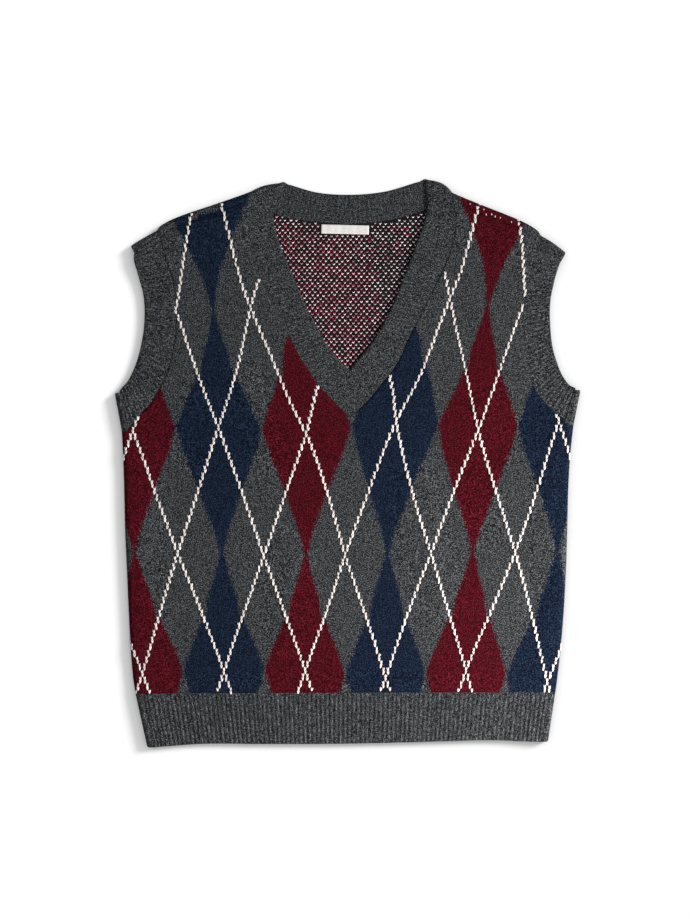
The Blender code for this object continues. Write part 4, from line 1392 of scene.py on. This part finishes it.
class VEST_OT_neckband(bpy.types.Operator):
    """Knit the neckband, a closed ring with a mitre at the point of the V"""

    bl_idname = "vest.neckband"
    bl_label = "Neckband"

    WIDTH = 30.0            # from seam to free edge, in millimetres
    BACK_REACH = 1.05       # how far the band's fold is drawn out behind the shoulder, in radii

    def execute(self, context):
        knit, _ = settings()
        pitch, rib = knit.rib_pitch / MM, knit.neck_rib / MM
        patches = []
        for half in HALVES:
            side = self.side(half)
            mitre = self.mitre(half) + side[:1]
            patches.append(band_patch(mitre, self.WIDTH, pitch, rib, mitred=True))
            side += turned_crossings(neck_folds(half), 0.0, 90.0, NECK_RADII)
            patches.append(band_patch(side, self.WIDTH, pitch, rib, raised=self.front_ribs))
        back = self.back(LEFT) + self.back(RIGHT)[-2::-1]
        patches.append(band_patch(back, self.WIDTH, pitch, rib, raised=self.back_ribs))
        piece = patch_wall("neckband_rib", patches, [band_material()])
        finish_cloth(piece, "neckband")
        return {"FINISHED"}

    @staticmethod
    def front_ribs(share):
        """Ribs on the outer face, fading as the band turns over the shoulder."""
        return smooth((1.0 - share) / RIB_FADE), np.zeros(len(share))

    @staticmethod
    def back_ribs(share):
        """Ribs on the inner face, which is the upper one behind the neck."""
        return np.zeros(len(share)), smooth(np.minimum(share, 1.0 - share) / RIB_FADE)

    def mitre(self, half):
        """The crossings from the mitre's foot up, without its last."""
        foot, row = half.rows[:2]
        away = half.side * MITRE_FOOT
        seam = np.array([(foot.band_x + away, foot.band_y - MITRE_DROP),
                         (foot.band_x + away / 2.0, foot.band_y), (foot.band_x, foot.band_y)])
        return [lay(*seam.T, FRONT)] + laid_crossings([np.array(neck_row(row))], FRONT)

    def side(self, half):
        """One side of the V, from the mitre's top to the shoulder fold, where it is flatter towards
        its free edge."""
        below, above = neck_rows(half)
        crossings = laid_crossings(np.concatenate([below, above[1:]])[:-1], FRONT)
        start, reach = NECK_EASE
        target = 2.0 * np.array(NECK_RADII) - WALL
        share = (target - LAY_HEIGHT) / (2.0 * FOLD_RADIUS - WALL - LAY_HEIGHT)
        for crossing in crossings:
            eased = smooth((crossing[:, 1] - start) / reach)
            crossing[:, 2] -= eased * (crossing[:, 2] - LAY_HEIGHT) * (1.0 - share)
        return crossings

    def back(self, half):
        """Half of the neckband's back part, from the shoulder fold to the middle of the neck."""
        folds = neck_folds(half)
        turned = turned_crossings(folds, 90.0, 180.0, NECK_RADII)
        for angle, crossing in zip(turn_angles(90.0, 180.0), turned):
            reach = smooth(angle / 90.0 - 1.0) * self.BACK_REACH
            for number, share in ((1, 0.5), (2, 1.0)):      # the middle and the free edge
                fold = folds[number]
                inward = np.array([fold.inward_x, fold.inward_y])
                crossing[number, 0:2] -= inward * NECK_RADII[number] * reach * share
        rows = [np.array(neck_row(row)) for row in half.back_neck[::-1]]
        return turned + laid_crossings(rows, BACK)


# Where a line's stitch may lie on the back panel's strip in front of a shoulder fold: from how far
# behind the fold to how far in front of it, and how far past the strip's ends.
STRIP_BACK = -2.4
STRIP_FRONT = SHOULDER_SEAM_DEPTH - 0.6
STRIP_REACH = 1.0
STRIP_STEP = 0.5            # distance between the fold's points


def over_shoulder(x, y, half):
    """Points of the back panel's strip in front of a shoulder fold and over it, from flat ones, and
    which of them lie on it."""
    folds = np.array(shoulder_folds(half.shoulder))
    folds = fine_rows(folds[:, None, :], STRIP_STEP)[:, 0]
    off_x, off_y = x[:, None] - folds[:, 0], y[:, None] - folds[:, 1]
    beside = np.abs(off_x * folds[:, 3] - off_y * folds[:, 2])
    nearest = beside.argmin(axis=1)
    fold = folds[nearest]
    every = np.arange(len(x))
    depth = off_x[every, nearest] * fold[:, 2] + off_y[every, nearest] * fold[:, 3]
    on_strip = (depth < STRIP_FRONT) & (depth > STRIP_BACK) & (beside.min(axis=1) < STRIP_REACH)
    angle = np.clip(1.0 - depth / FOLD_RADIUS, 0.0, math.pi / 2.0)
    inward = np.column_stack([fold[:, 2:4], np.zeros(len(x))])
    up = np.array([0.0, 0.0, 1.0])
    outward = np.cos(angle)[:, None] * up - inward * np.sin(angle)[:, None]
    centre = np.column_stack([fold[:, 0:2], np.full(len(x), FOLD_RADIUS)]) + inward * FOLD_RADIUS
    turned = centre + outward * (FOLD_RADIUS - WALL)
    flat = lay(x, y, FRONT)
    turned[angle == 0.0] = flat[angle == 0.0, INNER]
    return np.column_stack([turned, outward, x, y]), on_strip


class VEST_OT_argyle_lines(bpy.types.Operator):
    """Work the cream diagonal lines, two stitches high on each wale"""

    bl_idname = "vest.argyle_lines"
    bl_label = "Argyle Lines"

    SEED = 3
    LIFT = 0.2              # of the stitches over the wales, in millimetres
    DULL = 0.55             # the yarn's duller shade against its cream
    PATCHES = 260.0         # scale of the patches in the yarn
    SIZE_SPREAD, TILT_SPREAD, PLACE_SPREAD = 0.09, 0.13, 0.17
    SIZE_RANGE = (0.75, 1.25)
    SHAPE = {"Leg length": 1.25, "Leg width": 0.58, "Leg depth": 1.0, "Spread": 0.32,
             "Apart": 0.38}     # in rows, wales, the yarn's thickness and radians
    DASHES = range(-24, 54)     # the stitches of a line from the hem up
    REPEATS = range(-4, 5)      # the lines from left to right
    SPECK_SIZE = 0.36       # size of a stray stitch against one of a line
    SPECKS = ((129.2, 273.8), (144.0, 268.0), (146.2, 263.0), (152.0, 263.2), (156.0, 260.8),
              (161.0, 259.5), (173.2, 255.0), (178.5, 249.4))
    MIDDLE_FOOT_TIP = (0.0, -0.5, 0.5)  # places on a stitch, in rows
    OUTLINE_STEP = 1.0      # distance between the points of the front's cut, in millimetres
    MARGIN = 0.7            # how far inside the front's cut a stitch stays
    OVERLAP = 1.2           # how far a stitch may lie over an armhole band instead
    ARMHOLE = (120.0, 130.0, 220.0)     # where it may: beyond this x, and between these y

    def execute(self, context):
        knit, colours = settings()
        outline = front_outline(self.OUTLINE_STEP)
        lines = self.chart()
        specks = np.column_stack(CHART.stitch(*np.array(self.SPECKS).T))
        u, v = np.concatenate([lines, specks]).T
        full = np.concatenate([np.ones(len(lines)), np.full(len(specks), self.SPECK_SIZE)])
        points, low, high = (
            drape(*CHART.place(u, v + step)) for step in self.MIDDLE_FOOT_TIP
        )
        kept = self.on_front(*CHART.place(u, v), outline)
        for half in HALVES:
            spots, before, after = (
                over_shoulder(*CHART.place(u, v + step), half) for step in self.MIDDLE_FOOT_TIP
            )
            fits = ~kept & spots[1] & ((u < 0) == (half is LEFT))
            for target, source in ((points, spots[0]), (low, before[0]), (high, after[0])):
                target[fits] = source[fits]
            kept |= fits
        u, v, points, low, high, full = (
            values[kept] for values in (u, v, points, low, high, full)
        )
        chance = np.random.default_rng(self.SEED)
        up = high[:, INNER] - low[:, INNER]
        rows = np.linalg.norm(up, axis=1)
        here, beside = np.stack(CHART.place(u, v)), np.stack(CHART.place(u + 0.5, v))
        wales = np.linalg.norm(beside - here, axis=0) * 2.0
        size = np.stack([wales, rows, np.full(len(u), knit.yarn / MM)], axis=1) * MM
        size *= full[:, None]
        size *= chance.normal(1.0, self.SIZE_SPREAD, size.shape).clip(*self.SIZE_RANGE)
        normal = points[:, OUTWARD]
        across = np.cross(up, normal)
        across /= np.linalg.norm(across, axis=1, keepdims=True)
        up += across * chance.normal(0.0, self.TILT_SPREAD, (len(u), 1)) * rows[:, None]
        spots = points[:, INNER] + normal * (WALL + knit.ridge / MM / 2.0 + self.LIFT)
        spots += across * chance.normal(0.0, self.PLACE_SPREAD, (len(u), 1))
        material = shared_material("cream_yarn", yarn_material, colours.cream,
                                   shaded(colours.cream, self.DULL), self.PATCHES)
        piece = lay_stitches("argyle_lines", spots, up, normal, size, self.SHAPE, material)
        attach(piece, BODY_NAME)
        return {"FINISHED"}

    def chart(self):
        """The stitches of both families of lines."""
        found = set()
        for dash in self.DASHES:
            for repeat in self.REPEATS:
                middle = 2 * DIAMOND_WALES * repeat
                for wale in (middle + dash, middle - dash):
                    for row in (DASH_ROWS * dash - 0.5, DASH_ROWS * dash + 0.5):
                        found.add((wale, row))
        stitches = np.array(sorted(found), float)
        return stitches[np.abs(stitches[:, 0]) < LAST_WALE]

    def on_front(self, x, y, outline):
        """Which flat points lie on the front panel, clear of its cut or just over an armhole's."""
        away = distances(x, y, outline)
        beyond, low, high = self.ARMHOLE
        armhole = (np.abs(x) > beyond) & (y > low) & (y < high) & (away < self.OVERLAP)
        return armhole | (inside_outline(x, y, outline) & (away > self.MARGIN))


def inside_outline(x, y, outline):
    """Which points lie inside a closed line."""
    inside = np.zeros(len(x), bool)
    for (ax, ay), (bx, by) in zip(outline, np.roll(outline, -1, axis=0)):
        if ay != by:
            crosses = (ay > y) != (by > y)
            inside ^= crosses & (x < (bx - ax) * (y - ay) / (by - ay) + ax)
    return inside


class VEST_OT_birdseye(bpy.types.Operator):
    """Work the small stitches of the inside that show in the neck opening"""

    bl_idname = "vest.birdseye"
    bl_label = "Inside Stitches"

    ACROSS = 5.76           # distance between white stitches in a row, in millimetres
    ROW = 3.3               # distance between rows
    ROWS, COLUMNS = (-4, 60), (-26, 27)
    FIRST_Y = 92.0          # where row 0 lies
    MARGIN = 9.0            # how far the stitches run on under the neckband
    BACK_MARGIN = 2.0       # how far they stay below its seam at the back
    LABEL_MARGIN = 1.5      # how far they stay from the label
    FADE = (24.0, 236.0, 40.0, 140.0)   # the ends of a line that the burgundy thins out beyond
    RED_SHARES = (0.86, 0.12)           # how much of it is worked before and beyond that line
    RED_SEED, SEED = 5, 7
    SPREAD = 0.25           # how far a stitch strays, in millimetres
    WHITE_YARN = (0.74, 0.68, 0.69), (0.16, 0.07, 0.09)     # its shade and its dull shade
    RED_YARN = (0.12, 0.010, 0.026)
    WHITE_PATCHES, RED_PATCHES = 190.0, 120.0       # scales of the patches in the yarns
    WHITE_RISE, RED_RISE = 0.35, 0.05   # height of the stitches over the knit, in millimetres
    TILT_SPREAD, SIZE_SPREAD = 0.13, 0.1
    SIZE_RANGE = (0.7, 1.3)
    # Shapes in millimetres and radians
    WHITE = {"Leg length": 2.2, "Leg width": 0.78, "Leg depth": 1.3, "Spread": 0.62, "Apart": 1.05}
    RED = {"Leg length": 3.7, "Leg width": 1.35, "Leg depth": 0.9, "Spread": 0.72, "Apart": 2.4}

    def execute(self, context):
        _, colours = settings()
        white, red = self.spots()
        pale = shared_material("inside_white_yarn", yarn_material, *self.WHITE_YARN,
                               self.WHITE_PATCHES)
        self.work("inside_white_stitches", white, pale, self.WHITE, WALL + self.WHITE_RISE)
        deep = shared_material("inside_red_yarn", yarn_material, self.RED_YARN, colours.inside,
                               self.RED_PATCHES)
        self.work("inside_red_stitches", red, deep, self.RED, WALL + self.RED_RISE)
        return {"FINISHED"}

    def spots(self):
        """Flat places of the white and of the burgundy stitches."""
        edges = []
        for half in HALVES:
            reach = half.side * self.MARGIN
            edge = [(row.band_x + reach, row.band_y) for row in half.rows[MITRE_ROWS - 1:]]
            edge += [(row.neck_x, row.neck_y - self.BACK_MARGIN) for row in half.back_neck[::-1]]
            edges.append(edge)
        edge = np.array(edges[0] + edges[1][-2::-1])
        row, column = np.meshgrid(np.arange(*self.ROWS), np.arange(*self.COLUMNS), indexing="ij")
        x = CENTRE_X + (column + 0.5 * (row % 2)).ravel() * self.ACROSS
        y = self.FIRST_Y + row.ravel() * self.ROW
        white, red = np.column_stack([x, y]), np.column_stack([x, y + self.ROW / 2.0])
        start_x, start_y, end_x, end_y = self.FADE
        line = start_x + (end_x - start_x) * (start_y - red[:, 1]) / (start_y - end_y)
        chance = np.random.default_rng(self.RED_SEED).random(len(red))
        red = red[chance < np.where(red[:, 0] < line, *self.RED_SHARES)]
        kept = []
        for spots in (white, red):
            inside = inside_outline(*spots.T, edge)
            off_label = np.abs(spots - LABEL_CENTRE) - np.array(LABEL_SIZE[:2]) / 2.0
            kept.append(spots[inside & (off_label >= self.LABEL_MARGIN).any(axis=1)])
        return kept

    def work(self, name, spots, material, shape, height):
        """One colour of stitches."""
        count = len(spots)
        chance = np.random.default_rng(self.SEED)
        points = np.column_stack([spots + chance.normal(0.0, self.SPREAD, (count, 2)),
                                  np.full(count, height)])
        up = np.column_stack([chance.normal(0.0, self.TILT_SPREAD, count), np.ones(count),
                              np.zeros(count)])
        normal = np.tile((0.0, 0.0, 1.0), (count, 1))
        sizes = chance.normal(1.0, self.SIZE_SPREAD, (count, 3)).clip(*self.SIZE_RANGE) * MM
        sizes[:, 2] = MM
        piece = lay_stitches(name, points, up, normal, sizes, shape, material)
        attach(piece, BODY_NAME)


class VEST_OT_label(bpy.types.Operator):
    """Make the bare woven label inside the back of the neck"""

    bl_idname = "vest.label"
    bl_label = "Label"

    COLUMNS, ROWS = 64, 14
    LIFT = 0.25             # sizes in millimetres
    END_ROUND, SIDE_ROUND = 0.5, 0.4
    THINNEST = 0.1          # the edge's thickness as a share of the middle's
    WAVES = ((0.06, 0.35), (0.05, 0.8))     # heights, and their pace in radians per millimetre

    def execute(self, context):
        _, colours = settings()
        width, depth, thick = LABEL_SIZE
        x = np.linspace(-width / 2.0, width / 2.0, self.COLUMNS + 1)
        y = np.linspace(-depth / 2.0, depth / 2.0, self.ROWS + 1)
        grid_x, grid_y = np.meshgrid(x, y)
        ends = (width / 2.0 - np.abs(grid_x)) / self.END_ROUND
        sides = (depth / 2.0 - np.abs(grid_y)) / self.SIDE_ROUND
        full = quarter_round(np.minimum(ends, sides)) * (1.0 - self.THINNEST) + self.THINNEST
        (long_wave, long_pace), (short_wave, short_pace) = self.WAVES
        base = WALL + SEAM_GAP + self.LIFT + long_wave * np.sin(grid_x * long_pace)
        base = base + short_wave * np.cos(grid_x * short_pace)
        cosine, sine = math.cos(LABEL_TURN), math.sin(LABEL_TURN)
        flat_x = LABEL_CENTRE[0] + grid_x * cosine - grid_y * sine
        flat_y = LABEL_CENTRE[1] + grid_x * sine + grid_y * cosine
        inner = np.stack([flat_x, flat_y, base + thick / 2.0 * (1.0 - full)], axis=-1)
        outer = np.stack([flat_x, flat_y, base + thick / 2.0 * (1.0 + full)], axis=-1)
        stitches = np.stack([grid_x, grid_y], axis=-1)
        material = shared_material("woven_label", label_material, colours)
        piece = patch_wall("label_strip", [Patch(inner, outer, stitches)], [material])
        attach(piece, BODY_NAME)
        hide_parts("label")
        return {"FINISHED"}


class VEST_OT_stage(bpy.types.Operator):
    """Set the floor, the soft light and the camera"""

    bl_idname = "vest.stage"
    bl_label = "Stage"

    CAMERA_HEIGHT = 3.0
    VIEW_CENTRE = (-2.76, 4.03)
    VIEW_HEIGHT = 974.1
    KEY_HEIGHT = math.radians(27.0)     # of the broad light over the floor
    KEY_WAY = math.radians(27.0)        # its direction, from +X towards +Y
    KEY_SPREAD = math.radians(19.0)
    NEAR_PLACE = (0.72, -0.48, 0.42)
    NEAR_AIM = (0.05, -0.05, 0.0)
    NEAR_SIZE = 0.3
    NEAR_COLOUR = (1.0, 0.92, 0.86)
    FLOOR_REACH = 2.0

    def execute(self, context):
        scene = context.scene
        stage = scene.vest_stage
        scene.view_settings.view_transform = "Standard"
        self.floor(stage)
        self.light(stage)
        self.camera(scene)
        return {"FINISHED"}

    def floor(self, stage):
        """A plain pale floor."""
        reach = self.FLOOR_REACH
        data = bpy.data.meshes.new("floor")
        corners = [(-reach, -reach, 0.0), (reach, -reach, 0.0), (reach, reach, 0.0),
                   (-reach, reach, 0.0)]
        data.from_pydata(corners, [], [(0, 1, 2, 3)])
        material, _, shader = new_material("floor_paper")
        shader.inputs["Base Color"].default_value = (*stage.floor, 1.0)
        shader.inputs["Roughness"].default_value = 0.95
        shader.inputs["Specular IOR Level"].default_value = 0.0
        data.materials.append(material)
        add_object("floor", data)

    def light(self, stage):
        """A white world for fill, a broad key light, and a near light for the vest alone."""
        world = bpy.data.worlds.new("studio")
        world.use_nodes = True
        background = world.node_tree.nodes["Background"]
        background.inputs["Color"].default_value = (1.0, 1.0, 1.0, 1.0)
        background.inputs["Strength"].default_value = stage.fill
        bpy.context.scene.world = world
        key = bpy.data.lights.new("key", "SUN")
        key.energy = stage.key
        key.angle = self.KEY_SPREAD
        way = Vector((math.cos(self.KEY_WAY), math.sin(self.KEY_WAY), math.tan(self.KEY_HEIGHT)))
        self.hang("key", key, way, way)
        near = bpy.data.lights.new("near", "AREA")
        near.shape = "DISK"
        near.size = self.NEAR_SIZE
        near.energy = stage.near
        near.color = self.NEAR_COLOUR
        place = Vector(self.NEAR_PLACE)
        lamp = self.hang("near", near, place, place - Vector(self.NEAR_AIM))
        cloth = bpy.data.collections.new("near_light_falls_on")
        for piece in bpy.data.objects:
            if piece.type == "MESH" and piece.name != "floor":
                cloth.objects.link(piece)
        lamp.light_linking.receiver_collection = cloth

    def hang(self, name, light, place, way):
        """Hang a light at a place, shining against a way."""
        lamp = add_object(name, light)
        lamp.location = place
        lamp.rotation_euler = way.to_track_quat("Z", "Y").to_euler()
        return lamp

    def camera(self, scene):
        """A camera straight over the middle."""
        data = bpy.data.cameras.new("camera")
        data.sensor_fit = "VERTICAL"
        data.sensor_height = 24.0
        data.lens = data.sensor_height * self.CAMERA_HEIGHT / (self.VIEW_HEIGHT * MM)
        camera = add_object("camera", data)
        x, y = self.VIEW_CENTRE
        camera.location = (x * MM, y * MM, self.CAMERA_HEIGHT)
        scene.camera = camera


class VEST_PT_panel(bpy.types.Panel):
    """The vest's tools in the sidebar"""

    bl_idname = "VEST_PT_panel"
    bl_label = "Sweater Vest"
    bl_space_type = "VIEW_3D"
    bl_region_type = "UI"
    bl_category = "Sweater Vest"

    def draw(self, context):
        for name, _ in GROUPS:
            group = getattr(context.scene, name)
            box = self.layout.box()
            for key in group.bl_rna.properties.keys():
                if key not in ("rna_type", "name"):
                    box.prop(group, key)
        for operator in OPERATORS:
            self.layout.operator(operator.bl_idname)


OPERATORS = (
    VEST_OT_back_panel, VEST_OT_front_panel, VEST_OT_hem, VEST_OT_armbands, VEST_OT_neckband,
    VEST_OT_argyle_lines, VEST_OT_birdseye, VEST_OT_label, VEST_OT_stage,
)
GROUPS = (("vest_knit", VestKnit), ("vest_colours", VestColours), ("vest_stage", VestStage))


def register():
    """Register the classes, and give the scene its settings."""
    for _, group in GROUPS:
        bpy.utils.register_class(group)
    for operator in OPERATORS:
        bpy.utils.register_class(operator)
    bpy.utils.register_class(VEST_PT_panel)
    for name, group in GROUPS:
        setattr(bpy.types.Scene, name, bpy.props.PointerProperty(type=group))


def unregister():
    """Take them all away again."""
    for name, _ in GROUPS:
        delattr(bpy.types.Scene, name)
    bpy.utils.unregister_class(VEST_PT_panel)
    for operator in reversed(OPERATORS):
        bpy.utils.unregister_class(operator)
    for _, group in reversed(GROUPS):
        bpy.utils.unregister_class(group)


def main():
    """Make every piece and the stage."""
    register()
    bpy.ops.vest.back_panel()
    bpy.ops.vest.front_panel()
    bpy.ops.vest.hem()
    bpy.ops.vest.armbands()
    bpy.ops.vest.neckband()
    bpy.ops.vest.argyle_lines()
    bpy.ops.vest.birdseye()
    bpy.ops.vest.label()
    bpy.ops.vest.stage()


if __name__ == "__main__":
    main()
